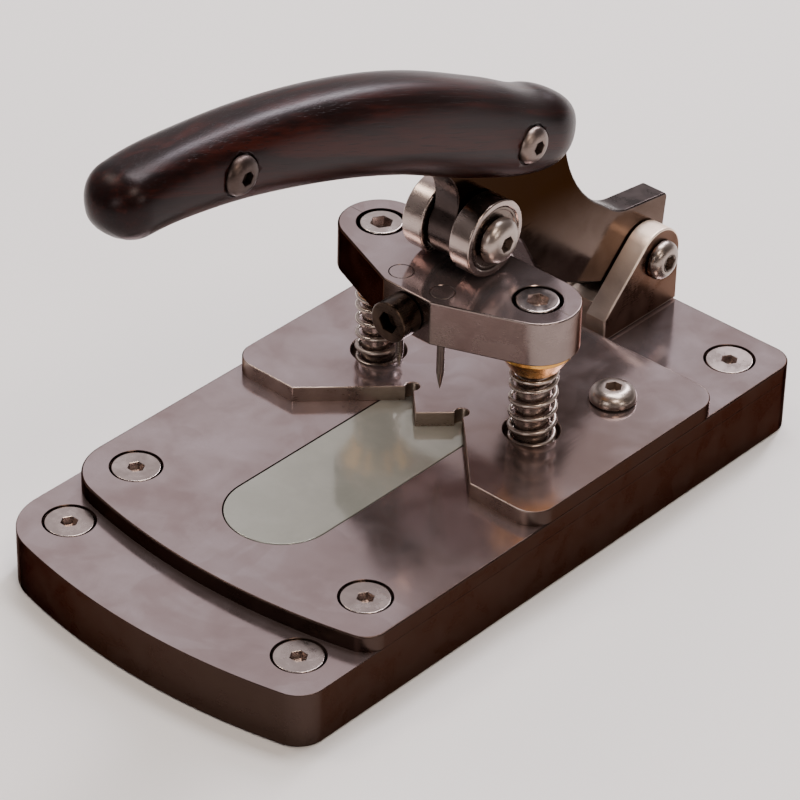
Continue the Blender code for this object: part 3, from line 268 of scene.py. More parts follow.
class Shell:
    """Closed surface of one piece, gathered from grids of points and flat faces."""

    def __init__(self) -> None:
        """Start with nothing."""
        self.points: list[Array] = []
        self.faces: list[list[int]] = []
        self.shades: list[int] = []

    def add(self, points: Array) -> Array:
        """Take in a grid of points.

        Args:
            points: Points, with three numbers along the last axis.

        Returns:
            The index of each point, in the grid's shape.
        """
        start = sum(len(block) for block in self.points)
        self.points.append(points.reshape(-1, 3))
        return start + np.arange(points.size // 3).reshape(points.shape[:-1])

    def skin(self, index: Array, shade: int = 0, ring: bool = False) -> None:
        """Four-sided faces between the neighbouring rows of a grid whose columns go round.

        Args:
            index: Grid of point indices.
            shade: Which of the piece's finishes the faces take.
            ring: Whether the last row also joins the first.
        """
        rows = np.vstack([index, index[:1]]) if ring else index
        across = np.roll(rows, -1, axis=1)
        quads = np.stack([rows[:-1], across[:-1], across[1:], rows[1:]], axis=-1).reshape(-1, 4)
        self.faces += quads.tolist()
        self.shades += [shade] * len(quads)

    def cap(self, rings: Sequence[Array], shade: int = 0) -> None:
        """Flat face inside the first ring and outside the others.

        Args:
            rings: Point indices round the face's rim and round each hole.
            shade: Which of the piece's finishes the face takes.
        """
        points = np.vstack(self.points)
        index = np.concatenate(rings)
        loops = [[Vector((*points[i, :2], 0.0)) for i in ring] for ring in rings]
        found = geometry.tessellate_polygon(loops)
        self.faces += [[int(index[corner]) for corner in face] for face in found]
        self.shades += [shade] * len(found)

    def merge(self, other: "Shell", points: Array) -> None:
        """Take in another shell, with its points given afresh.

        Args:
            other: Shell whose faces are taken.
            points: Where its points now lie.
        """
        start = sum(len(block) for block in self.points)
        self.points.append(points)
        self.faces += [[start + corner for corner in face] for face in other.faces]
        self.shades += other.shades

    def placed(self, axis: Axis, origin: Sequence[float]) -> "Shell":
        """Same shell, turned to an axis and moved to an origin.

        Args:
            axis: Where the shell's own directions point.
            origin: Place of its own origin in the frame.

        Returns:
            The new shell.
        """
        result = Shell()
        result.merge(self, axis.place(np.vstack(self.points), origin))
        return result

    def piece(self, name: str, finishes: Sequence[bpy.types.Material]) -> Piece:
        """Object of this shell: doubles merged, faces turned outwards, edges sharp where they are steep.

        Args:
            name: Name of the piece.
            finishes: Its materials, in the order of the shades.

        Returns:
            The object, linked to the scene.
        """
        mesh = bpy.data.meshes.new(name)
        mesh.from_pydata(np.vstack(self.points), [], self.faces)
        mesh.polygons.foreach_set("material_index", np.array(self.shades, np.int32))
        solid = bmesh.new()
        solid.from_mesh(mesh)
        bmesh.ops.remove_doubles(solid, verts=solid.verts, dist=WELD)
        bmesh.ops.recalc_face_normals(solid, faces=solid.faces)
        solid.to_mesh(mesh)
        solid.free()
        for finish in finishes:
            mesh.materials.append(finish)
        mesh.shade_smooth()
        mesh.set_sharp_from_angle(angle=SHARP)
        piece = bpy.data.objects.new(name, mesh)
        bpy.context.scene.collection.objects.link(piece)
        weighted = piece.modifiers.new("even_faces", "WEIGHTED_NORMAL")
        weighted.keep_sharp = True
        return piece


@dataclass(frozen=True)
class Opening:
    """Hole let into a plate: its outline and the offset and height of each row of its wall.

    The first row lies on one face of the plate. The last lies on the other face, or is
    offset to nothing, which closes a blind hole.
    """

    outline: Array
    offsets: Array
    heights: Array
    blind: bool = False

    @classmethod
    def bored(cls, place: Sequence[float], profile: Sequence[Corner], edge: float = MOUTH) -> "Opening":
        """Round hole from a (radius, height) profile that starts at a face.

        Args:
            place: Centre of the hole.
            profile: Radius and height of each step, from the open end inwards.
            edge: Size of the bevel at the open end.

        Returns:
            The hole, blind where its profile ends at no radius.
        """
        steps = np.array(profile, float)
        sense = math.copysign(edge, steps[0, 1] - steps[1, 1])
        mouth = np.array([[steps[0, 0] + edge, steps[0, 1]], [steps[0, 0], steps[0, 1] - sense]])
        steps = np.vstack([mouth, steps[1:]])
        base = 0.001
        rim = circle(place, base, ROUND_SIDES)
        return cls(rim, steps[:, 0] - base, steps[:, 1], bool(steps[-1, 0] == 0))

    @classmethod
    def through(cls, place: Sequence[float], radius: float, plate: Box, edge: float = MOUTH) -> "Opening":
        """Straight round hole through a plate, from its upper face down."""
        return cls.bored(place, [(radius, plate.high.z), (radius, plate.low.z)], edge)


def slab(
    outline: Array,
    low: float,
    high: float,
    edge: float,
    openings: Iterable[Opening] = (),
    wall: int = 0,
    foot: float | None = None,
) -> Shell:
    """Plate: an outline carried down a wall with rounded edges, and two flat faces with holes.

    Args:
        outline: Closed outline of the plate.
        low: Height of the lower face.
        high: Height of the upper face.
        edge: Radius of the rounded edges.
        openings: Holes, each starting at a face.
        wall: Finish of the wall and its edges, where the faces take finish 0.
        foot: Radius of the lower edge, where it differs.

    Returns:
        The plate's shell.
    """
    shell = Shell()
    offset, drop = eased(edge)
    foot_offset, foot_drop = eased(foot or edge)
    offsets = np.concatenate([offset, foot_offset[::-1]])
    heights = np.concatenate([high - drop, (low + foot_drop)[::-1]])
    index = shell.add(carried(outline, offsets, heights))
    shell.skin(index, wall)
    upper, lower = [index[0]], [index[-1]]
    for opening in openings:
        hole = shell.add(carried(opening.outline, opening.offsets, opening.heights))
        shell.skin(hole, wall)
        from_top = abs(opening.heights[0] - high) < WELD
        (upper if from_top else lower).append(hole[0])
        if not opening.blind:
            (lower if from_top else upper).append(hole[-1])
    shell.cap(upper)
    shell.cap(lower)
    return shell


def lathed(
    profile: Array, sides: int = ROUND_SIDES, ring: bool = False, hexed: Array | None = None
) -> Shell:
    """Surface of revolution: radius(s) times the cosine and sine of the angle, at height(s).

    Where a row is hexed, its radius is divided by the cosine of the angle from the middle
    of the nearest flat, which makes a hexagon.

    Args:
        profile: (radius, height) rows, from one pole to the other, or once round a ring.
        sides: Points round the axis, a multiple of six.
        ring: Whether the profile is closed and clear of the axis.
        hexed: Which rows are hexagons.

    Returns:
        The shell, about w.
    """
    angle = np.linspace(0.0, 2 * math.pi, sides, endpoint=False)
    flat = np.cos((angle % (math.pi / 3)) - math.pi / 6)
    share = np.ones((len(profile), sides))
    if hexed is not None:
        share = np.where(hexed[:, None], 1.0 / flat[None], 1.0)
    radius = profile[:, :1] * share
    height = np.broadcast_to(profile[:, 1:2], radius.shape)
    shell = Shell()
    index = shell.add(np.stack([radius * np.cos(angle), radius * np.sin(angle), height], axis=2))
    shell.skin(index, ring=ring)
    return shell


def round_bar(radius: float, half: float, edge: float) -> Shell:
    """Round bar about w with rounded rims, as long below its middle as above."""
    return lathed(rounded([(0.0, -half), (radius, -half, edge), (radius, half, edge), (0.0, half)], False))


def wire(path: Array, radius: float, centre: Array, sides: int = 14) -> Shell:
    """Round wire: at each point of the path, a circle across the path's own direction.

    Its first direction points away from an upright axis, its second is square to that and
    to the path, and the circle shrinks as a half sphere over the last points of each end.

    Args:
        path: Points of the centre line.
        radius: Radius of the wire.
        centre: Place of the upright axis.
        sides: Points round the wire.

    Returns:
        The wire's shell.
    """
    along = np.gradient(path, axis=0)
    along /= np.linalg.norm(along, axis=1, keepdims=True)
    away = path - centre
    away[:, 2] = 0.0
    away -= np.sum(away * along, axis=1, keepdims=True) * along
    away /= np.linalg.norm(away, axis=1, keepdims=True)
    across = np.cross(along, away)
    turn = np.linspace(0.0, math.pi / 2, BALL_STEPS + 1)
    start = path[0] - along[0] * radius * np.cos(turn[:-1, None])
    end = path[-1] + along[-1] * radius * np.cos(turn[-2::-1, None])
    centres = np.vstack([start, path, end])
    radii = radius * np.concatenate([np.sin(turn[:-1]), np.ones(len(path)), np.sin(turn[-2::-1])])
    ends = (BALL_STEPS, BALL_STEPS)
    away, across = (np.pad(line, (ends, (0, 0)), mode="edge") for line in (away, across))
    angle = np.linspace(0.0, 2 * math.pi, sides, endpoint=False)[None, :, None]
    round_path = away[:, None] * np.cos(angle) + across[:, None] * np.sin(angle)
    shell = Shell()
    shell.skin(shell.add(centres[:, None] + radii[:, None, None] * round_path))
    return shell


# Finishes


class Graph:
    """Shader nodes of one material, added and linked by short calls."""

    def __init__(self, name: str) -> None:
        """Start a material with a Principled shader and Object coordinates.

        Args:
            name: Name of the material.
        """
        self.material = bpy.data.materials.new(name)
        self.material.use_nodes = True
        self.tree = self.material.node_tree
        self.shader = self.tree.nodes["Principled BSDF"]
        self.place = self.add("ShaderNodeTexCoord").outputs["Object"]

    def add(self, kind: str, values: dict | None = None, **settings: object) -> bpy.types.Node:
        """Add a node.

        Args:
            kind: Blender's name for the node.
            values: Socket by name or number, to a value or to the socket that feeds it.
            settings: The node's own settings.

        Returns:
            The node.
        """
        node = self.tree.nodes.new(kind)
        for key, value in settings.items():
            setattr(node, key, value)
        for key, value in (values or {}).items():
            self.feed(node, key, value)
        return node

    def feed(self, node: bpy.types.Node, key: str | int, value: object) -> None:
        """Set an input of a node, or link it.

        Args:
            node: The node.
            key: Name or number of its input.
            value: Value, or the socket that feeds it.
        """
        if isinstance(value, Socket):
            self.tree.links.new(value, node.inputs[key])
        else:
            node.inputs[key].default_value = value

    def turned(self, turn: Sequence[float], scale: Sequence[float]) -> Socket:
        """Object coordinates read along turned axes, each with its own scale."""
        values = {"Vector": self.place, "Rotation": turn, "Scale": [1 / part for part in scale]}
        return self.add("ShaderNodeMapping", values, vector_type="TEXTURE").outputs[0]

    def noise(
        self, scale: float, detail: float = 3.0, place: object = None, warp: float = 0.0, rough: float = 0.5
    ) -> Socket:
        """Cloudy value from 0 to 1."""
        values = {"Vector": place or self.place, "Scale": scale, "Detail": detail, "Distortion": warp}
        return self.add("ShaderNodeTexNoise", {**values, "Roughness": rough}).outputs["Fac"]

    def spread(self, value: Socket, start: float, end: float, low: float, high: float) -> Socket:
        """Value carried smoothly from one range to another, and held within it."""
        values = {"Value": value, "From Min": start, "From Max": end, "To Min": low, "To Max": high}
        return self.add("ShaderNodeMapRange", values, interpolation_type="SMOOTHSTEP").outputs["Result"]

    def ramp(self, value: Socket, stops: Sequence[tuple[float, Colour]]) -> Socket:
        """Colour read from stops.

        Args:
            value: Where to read.
            stops: Position and colour of each stop.

        Returns:
            The colour's socket.
        """
        node = self.add("ShaderNodeValToRGB", {"Fac": value})
        while len(node.color_ramp.elements) < len(stops):
            node.color_ramp.elements.new(0.5)
        for element, (position, colour) in zip(node.color_ramp.elements, stops):
            element.position = position
            element.color = (*colour, 1.0)
        return node.outputs["Color"]

    def mixed(self, share: object, first: object, second: object, blend: str = "MIX") -> Socket:
        """Two colours mixed by a share. The node takes its colours at inputs 6 and 7."""
        values = {0: share, 6: self.solid(first), 7: self.solid(second)}
        return self.add("ShaderNodeMix", values, data_type="RGBA", blend_type=blend).outputs[2]

    def solid(self, colour: object) -> object:
        """Colour with its fourth number, or the socket as it is."""
        return (*colour, 1.0) if isinstance(colour, tuple) else colour

    def summed(self, *parts: tuple[Socket, float]) -> Socket:
        """Sum of values, each times its weight.

        Args:
            parts: Value and weight of each.

        Returns:
            The sum's socket.
        """
        total = None
        for value, weight in parts:
            terms = {0: value, 1: weight, 2: total or 0.0}
            total = self.add("ShaderNodeMath", terms, operation="MULTIPLY_ADD").outputs[0]
        return total

    def dress(self, colour: object, roughness: object, bump: object = None, depth: float = 0.0) -> None:
        """Feed the shader its colour, roughness and relief.

        Args:
            colour: Base colour, or its socket.
            roughness: Roughness, or its socket.
            bump: Height of the relief, where there is one.
            depth: How deep the relief is.
        """
        self.feed(self.shader, "Base Color", self.solid(colour))
        self.feed(self.shader, "Roughness", roughness)
        if bump is not None:
            relief = self.add("ShaderNodeBump", {"Height": bump, "Strength": 1.0, "Distance": depth})
            self.feed(self.shader, "Normal", relief.outputs["Normal"])


@dataclass(frozen=True)
class StainedSteel:
    """Ground plate whose polish is clouded with faint stains and crossed by fine scratches."""

    name: str
    slot: str
    clean: Colour
    stained: Colour
    tint: Colour
    smooth: float
    dull: float
    cloud: float = 70.0
    patch_scale: float = 1.8
    faint_scale: float = 0.55
    shares: Pair = (0.62, 0.38)
    stops: Point = (0.36, 0.50, 0.64)
    stain_reach: Pair = (0.55, 0.60)
    stain_share: float = 0.40
    bloom: Colour = (0.215, 0.150, 0.130)
    bloom_centre: Point = (0.030, 0.014, 0.016)
    bloom_reach: Pair = (0.052, 0.014)
    bloom_share: float = 0.80
    bloom_wander: float = 0.022
    speckle: float = 2600.0
    speckle_reach: Pair = (0.35, 0.75)
    speckle_share: float = 0.14
    scratch_turns: Point = (0.35, 1.25, 2.30)
    scratch_scale: Point = (45.0, 5200.0, 900.0)
    scratch_reach: Pair = (0.69, 0.80)
    scratch_share: float = 0.12
    scratch_relief: float = -0.14
    brush_scale: Point = (2400.0, 90.0, 2400.0)
    brush_relief: float = 0.5
    wear_shares: Pair = (0.7, 0.3)
    wear_reach: Pair = (0.20, 0.60)
    depth: float = 0.000012
    metallic: float = 1.0

    def build(self) -> bpy.types.Material:
        """Material of this finish: stains, a brown bloom round one place, specks and scratches.

        Returns:
            The material.
        """
        graph = Graph(self.name)
        clouds = graph.noise(self.cloud, 4.0, warp=0.4)
        patches = graph.noise(self.cloud * self.patch_scale, 3.0, warp=0.5)
        speckle = graph.noise(self.speckle, 2.0)
        blend = graph.summed(*zip((clouds, patches), self.shares))
        colour = graph.ramp(blend, tuple(zip(self.stops, (self.stained, self.clean, self.tint))))
        faint = graph.noise(self.cloud * self.faint_scale, 2.0, warp=1.6)
        stain = graph.spread(faint, *self.stain_reach, 0.0, self.stain_share)
        colour = graph.mixed(stain, colour, self.stained)
        ends = {0: graph.place, 1: self.bloom_centre}
        away = graph.add("ShaderNodeVectorMath", ends, operation="DISTANCE")
        near = graph.summed((away.outputs["Value"], 1.0), (patches, self.bloom_wander))
        bloom = graph.spread(near, *self.bloom_reach, 0.0, self.bloom_share)
        colour = graph.mixed(bloom, colour, self.bloom)
        grains = graph.spread(speckle, *self.speckle_reach, 0.0, self.speckle_share)
        colour = graph.mixed(grains, colour, self.stained)
        scratches = None
        for turn in self.scratch_turns:
            lines = graph.noise(1.0, 2.0, graph.turned((0.0, 0.0, turn), self.scratch_scale))
            marks = graph.spread(lines, *self.scratch_reach, 0.0, 1.0)
            scratches = marks if scratches is None else graph.summed((scratches, 1.0), (marks, 1.0))
        colour = graph.mixed(graph.spread(scratches, 0.0, 1.0, 0.0, self.scratch_share), colour, self.clean)
        worn = graph.summed(*zip((patches, stain), self.wear_shares))
        wear = graph.spread(worn, *self.wear_reach, self.smooth, self.dull)
        brushed = graph.noise(1.0, 3.0, graph.turned((0.0, 0.0, 0.0), self.brush_scale))
        height = graph.summed((brushed, self.brush_relief), (scratches, self.scratch_relief))
        graph.dress(colour, wear, height, self.depth)
        graph.shader.inputs["Metallic"].default_value = self.metallic
        return graph.material


@dataclass(frozen=True)
class PlainSteel:
    """Turned or ground steel, with faint clouding and a lay along one direction."""

    name: str
    slot: str
    bright: Colour
    dark: Colour
    smooth: float
    dull: float
    cloud: float = 160.0
    shares: Pair = (0.75, 0.25)
    stops: Pair = (0.36, 0.62)
    wear_reach: Pair = (0.35, 0.65)
    lay: Point = (900.0, 900.0, 5000.0)
    depth: float = 0.000006
    metallic: float = 1.0
    grazing: Colour = (1.0, 1.0, 1.0)
    # A fade paints light or shade: the finish turns to a second colour, of painted shade, highlight or
    # reflection, between two places along an axis.
    fade: Pair | None = None
    painted_light_colour: Colour = (0.0, 0.0, 0.0)
    fade_along: str = "Z"
    both_sides: bool = False

    def build(self) -> bpy.types.Material:
        """Material of this finish, which may fade to a colour of painted light between two places along an
        axis.

        Returns:
            The material.
        """
        graph = Graph(self.name)
        clouds = graph.noise(self.cloud, 4.0, warp=0.6)
        marks = graph.noise(1.0, 3.0, graph.turned((0.0, 0.0, 0.0), self.lay))
        blend = graph.summed(*zip((clouds, marks), self.shares))
        colour = graph.ramp(blend, tuple(zip(self.stops, (self.dark, self.bright))))
        if self.fade is not None:
            reach = graph.add("ShaderNodeSeparateXYZ", {0: graph.place}).outputs[self.fade_along]
            if self.both_sides:
                reach = graph.add("ShaderNodeMath", {0: reach}, operation="ABSOLUTE").outputs[0]
            # Painted light: mixes towards the colour of painted shade, highlight or reflection across the
            # fade.
            colour = graph.mixed(graph.spread(reach, *self.fade, 0.0, 1.0), colour, self.painted_light_colour)
        rough = graph.spread(blend, *self.wear_reach, self.smooth, self.dull)
        graph.dress(colour, rough, marks, self.depth)
        graph.shader.inputs["Metallic"].default_value = self.metallic
        graph.shader.inputs["Specular Tint"].default_value = (*self.grazing, 1.0)
        return graph.material


@dataclass(frozen=True)
class Rosewood:
    """Oiled dark wood: near-black and reddish streaks along the grip, with fine open pores."""

    name: str = "rosewood"
    slot: str = "rosewood"
    heart: Colour = (0.0030, 0.0008, 0.0006)
    body: Colour = (0.0075, 0.0011, 0.0005)
    streak: Colour = (0.026, 0.0038, 0.0016)
    stops: Point = (0.36, 0.50, 0.64)
    lay: float = -0.38
    band: float = 230.0
    fibre: float = 1500.0
    fibre_stretch: float = 0.05
    fibre_relief: float = 0.5
    shares: Pair = (0.72, 0.28)
    pore: float = 4200.0
    pore_stretch: float = 0.03
    pore_reach: Pair = (0.60, 0.70)
    pore_share: float = 0.7
    pore_relief: float = -0.6
    wear_reach: Pair = (0.3, 0.7)
    smooth: float = 0.29
    dull: float = 0.36
    depth: float = 0.00002
    gloss: float = 0.20
    grazing: Colour = (0.92, 0.80, 0.84)

    def build(self) -> bpy.types.Material:
        """Material of this finish: bands, fibres and pores stretched along the grip.

        Returns:
            The material.
        """
        graph = Graph(self.name)
        along = graph.turned((self.lay, 0.0, 0.0), (1.0, self.fibre_stretch, 1.0))
        bands = graph.noise(self.band, 3.0, along, warp=1.0)
        fibres = graph.noise(self.fibre, 3.0, along, warp=0.4)
        blend = graph.summed(*zip((bands, fibres), self.shares))
        colour = graph.ramp(blend, tuple(zip(self.stops, (self.heart, self.body, self.streak))))
        finely_along = graph.turned((self.lay, 0.0, 0.0), (1.0, self.pore_stretch, 1.0))
        pores = graph.noise(self.pore, 1.0, finely_along)
        open_pores = graph.spread(pores, *self.pore_reach, 0.0, 1.0)
        colour = graph.mixed(graph.spread(open_pores, 0.0, 1.0, 0.0, self.pore_share), colour, self.heart)
        rough = graph.spread(blend, *self.wear_reach, self.smooth, self.dull)
        height = graph.summed((fibres, self.fibre_relief), (open_pores, self.pore_relief))
        graph.dress(colour, rough, height, self.depth)
        graph.shader.inputs["Specular IOR Level"].default_value = self.gloss
        graph.shader.inputs["Specular Tint"].default_value = (*self.grazing, 1.0)
        return graph.material


Finish = StainedSteel | PlainSteel | Rosewood

# Painted reflection: a brown tint on the grazing reflections of the plate walls, fence and holder walls,
# ear faces and lever, so that what they mirror looks brown.
PAINTED_BROWN_REFLECTION = (0.25, 0.19, 0.165)
TOP = StainedSteel(
    "stained_plate", "plate_steel", (0.405, 0.328, 0.330), (0.330, 0.252, 0.248), (0.450, 0.378, 0.390),
    smooth=0.12, dull=0.20, metallic=0.88,
)
# Painted reflection: the walls of the base and upper plate are the same steel as their faces, coloured dark
# brown for the dark surroundings that they mirror.
WALL = PlainSteel(
    "browned_wall", "plate_steel", (0.055, 0.037, 0.031), (0.049, 0.032, 0.027), 0.26, 0.36, grazing=PAINTED_BROWN_REFLECTION
)
# Painted light: the fence's front walls are lighter than the plate walls, as if lit from the front, and
# they darken from 35 mm to 38.8 mm either side of the middle, where the side walls take painted reflection.
EDGE = PlainSteel(
    "fence_wall_painted_light", "plate_steel", (0.44, 0.355, 0.315), (0.33, 0.258, 0.226), 0.26, 0.40, grazing=PAINTED_BROWN_REFLECTION,
    fade=(0.0350, 0.0388), painted_light_colour=(0.056, 0.038, 0.032), fade_along="X", both_sides=True,
)
# Painted shade: the holder's walls are darker than its top, and darker again left of the middle, for the
# dark surroundings that they mirror.
HOLDER_WALL = PlainSteel(
    "holder_wall_painted_shade", "plate_steel", (0.225, 0.180, 0.168), (0.175, 0.138, 0.128), 0.20, 0.30, grazing=PAINTED_BROWN_REFLECTION,
    fade=(0.001, -0.006), painted_light_colour=(0.052, 0.034, 0.027), fade_along="X",
)
# Painted shade: the ears' flat faces are darker than their slope and round top, though the bracket is one
# steel.
EAR_FACE = PlainSteel(
    "ear_face_painted_shade", "plate_steel", (0.165, 0.112, 0.090), (0.110, 0.072, 0.057), 0.24, 0.38, grazing=PAINTED_BROWN_REFLECTION
)
# Painted highlight: the slope turns a bright warm colour from 25.5 mm to 33.5 mm up, towards its round top,
# so it is darker towards the bottom.
EAR_SLOPE = PlainSteel(
    "ear_slope", "plate_steel", (0.50, 0.415, 0.37), (0.40, 0.33, 0.29), 0.34, 0.46, metallic=0.80,
    fade=(0.0255, 0.0335), painted_light_colour=(0.98, 0.80, 0.66),
)
# Painted reflection: the lever's faces darken from 26 mm to 56 mm up, standing in for the dark surroundings
# that they mirror.
LEVER = PlainSteel(
    "lever_face", "lever_steel", (0.190, 0.152, 0.135), (0.146, 0.115, 0.101), 0.09, 0.16,
    depth=0.000003, grazing=PAINTED_BROWN_REFLECTION, fade=(0.026, 0.056), painted_light_colour=(0.031, 0.023, 0.019),
)
# Painted shade: the lever's edges are coloured dark, though the plate is one steel.
LEVER_EDGE = PlainSteel(
    "lever_edge_painted_shade", "lever_steel", (0.060, 0.045, 0.042), (0.034, 0.025, 0.023), 0.22, 0.36
)
SCREW = PlainSteel("screw_face", "screw_steel", (0.58, 0.51, 0.48), (0.46, 0.39, 0.365), 0.18, 0.30)
FLAT_HEAD = PlainSteel("flat_head", "screw_steel", (0.47, 0.40, 0.375), (0.36, 0.30, 0.28), 0.20, 0.32)
BUTTON = PlainSteel("button_head", "screw_steel", (0.40, 0.34, 0.305), (0.30, 0.25, 0.22), 0.26, 0.36)
GRIP_SCREW = PlainSteel("grip_screw", "screw_steel", (0.22, 0.175, 0.155), (0.12, 0.09, 0.08), 0.28, 0.42)
# Painted shade: the front grip screw is the same screw as the rear one, coloured darker as if in shadow.
SHADED_GRIP_SCREW = PlainSteel(
    "grip_screw_painted_shade", "screw_steel", (0.085, 0.063, 0.056), (0.052, 0.037, 0.033), 0.36, 0.48
)
GROUND = PlainSteel("ground_steel", "ground_steel", (0.43, 0.355, 0.325), (0.30, 0.243, 0.220), 0.20, 0.30)
NEEDLE = PlainSteel("needle_steel", "ground_steel", (0.21, 0.172, 0.155), (0.135, 0.108, 0.097), 0.26, 0.36)
WIRE = PlainSteel("spring_wire", "spring_steel", (0.43, 0.365, 0.325), (0.34, 0.285, 0.25), 0.24, 0.34)
# Painted reflection: the bearing shields are coloured dark for the dark surroundings that they mirror.
SHIELD = PlainSteel("shield_steel", "spring_steel", (0.18, 0.145, 0.125), (0.11, 0.085, 0.073), 0.22, 0.34)
BRASS = PlainSteel("bush_brass", "bush_brass", (0.70, 0.38, 0.11), (0.52, 0.26, 0.065), 0.20, 0.32)
BLACK = PlainSteel("black_oxide", "black_oxide", (0.078, 0.052, 0.037), (0.030, 0.019, 0.014), 0.24, 0.40)
INSERT = PlainSteel(
    "cutting_insert", "cutting_insert", (0.375, 0.385, 0.345), (0.345, 0.354, 0.316), 0.08, 0.12,
    metallic=0.40,
)
WOOD = Rosewood()


class FinishRack:
    """Materials made so far, so that pieces of one finish share it."""

    def __init__(self) -> None:
        """Start with no material made."""
        self.made: dict[str, bpy.types.Material] = {}

    def material(self, finish: Finish) -> bpy.types.Material:
        """Material of a finish, made once.

        Args:
            finish: The finish.

        Returns:
            Its material.
        """
        if finish.name not in self.made:
            self.made[finish.name] = finish.build()
        return self.made[finish.name]


RACK = FinishRack()


def fit_piece(shell: Shell, name: str, body: str, finishes: Sequence[Finish], *nodes: str) -> Piece:
    """Make a shell a piece that rides on a body and stands for CAD nodes.

    Args:
        shell: Surface of the piece, in the frame.
        name: Name of the piece.
        body: CAD body that it moves with.
        finishes: Its finishes, one material slot each.
        nodes: CAD nodes that it stands for.

    Returns:
        The piece.
    """
    piece = shell.piece(name, [RACK.material(finish) for finish in finishes])
    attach(piece, body)
    if nodes:
        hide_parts(*nodes)
    LOG.info("%s: %d faces on %s", name, len(piece.data.polygons), body)
    return piece


# Screws


class Head(Enum):
    """Kinds of screw head."""

    BUTTON = "button"
    CAP = "cap"
    FLAT = "flat"


@dataclass(frozen=True)
class Screw:
    """Hexagon socket screw along w, its seat at height zero and a flat head's top there."""

    head: Head
    radius: float = 0.00475
    height: float = 0.00275
    thread: float = 0.0025
    socket: float = 0.0030
    length: float = 0.0060
    land: float = 0.0005
    edge: float = 0.0003
    depth: float = 0.6
    lead_in: float = 0.00008
    socket_cone: float = 0.3
    socket_land: float = 1.3
    tip: float = 0.0005

    @classmethod
    def cap(cls, length: float) -> "Screw":
        """Cap screw of 5 mm thread."""
        return cls(Head.CAP, radius=0.00425, height=0.0050, socket=0.0040, length=length)

    @classmethod
    def flat(cls, length: float) -> "Screw":
        """Countersunk screw of 5 mm thread."""
        return cls(Head.FLAT, radius=0.0048, land=0.0003, edge=0.0002, length=length)

    @property
    def top(self) -> float:
        """Height of the top face."""
        return 0.0 if self.head is Head.FLAT else self.height

    def outside(self) -> Array:
        """Outside of the head, from its top face down to the shank.

        Returns:
            (radius, height) rows.
        """
        radius, land = self.radius, self.land
        seat = [(radius, 0.0, self.edge / 2), (self.thread, 0.0)]
        if self.head is Head.BUTTON:
            flat = radius - self.height
            dome = arc((0.0, 0.0), 1.0, math.pi / 2, 0.0)
            crown = dome * (radius - flat, self.height - land) + (flat, land)
            return np.vstack([crown, rounded([(radius, land), *seat], closed=False)])
        if self.head is Head.CAP:
            rim = [(radius, self.top, self.edge), *seat]
        else:
            rim = [(radius, 0.0, self.edge), (radius, -land), (self.thread, -(land + radius - self.thread))]
        return rounded([(self.socket, self.top), *rim], closed=False)[1:]

    def shell(self) -> Shell:
        """Screw as one surface of revolution whose socket rows are hexagons.

        Returns:
            The screw's shell, along w.
        """
        flat = self.socket / 2
        floor = self.top - self.depth * self.socket
        mouth = self.top - self.lead_in
        centre = (0.0, floor - self.socket_cone * flat)
        socket = [centre, (flat, floor), (flat, mouth), (flat + self.lead_in, self.top)]
        inside = np.array([*socket, (flat * self.socket_land, self.top)])
        shank = [(self.thread, -self.length + self.tip), (self.thread - self.tip, -self.length)]
        profile = np.vstack([inside, self.outside(), [*shank, (0.0, -self.length)]])
        hexed = np.zeros(len(profile), bool)
        hexed[1 : len(socket)] = True
        return lathed(profile, hexed=hexed)


def fit_screw(screw: Screw, node: str, body: str, axis: Axis, finish: PlainSteel | None = None) -> Piece:
    """Put a screw where its CAD node is.

    Its seat lies one head below the node's far end along the axis.

    Args:
        screw: The screw.
        node: CAD node that it stands for.
        body: CAD body that it moves with.
        axis: Where its head points.
        finish: Its finish, where it isn't its head's usual one.

    Returns:
        The piece.
    """
    box = Box.of(node)
    toward = Vector(axis.value[2])
    reach = abs(box.size.dot(toward)) / 2 - screw.top
    finish = finish or {Head.BUTTON: BUTTON, Head.CAP: SCREW, Head.FLAT: FLAT_HEAD}[screw.head]
    shell = screw.shell().placed(axis, box.centre + toward * reach)
    return fit_piece(shell, node + "_form", body, [finish], node)


# Plates


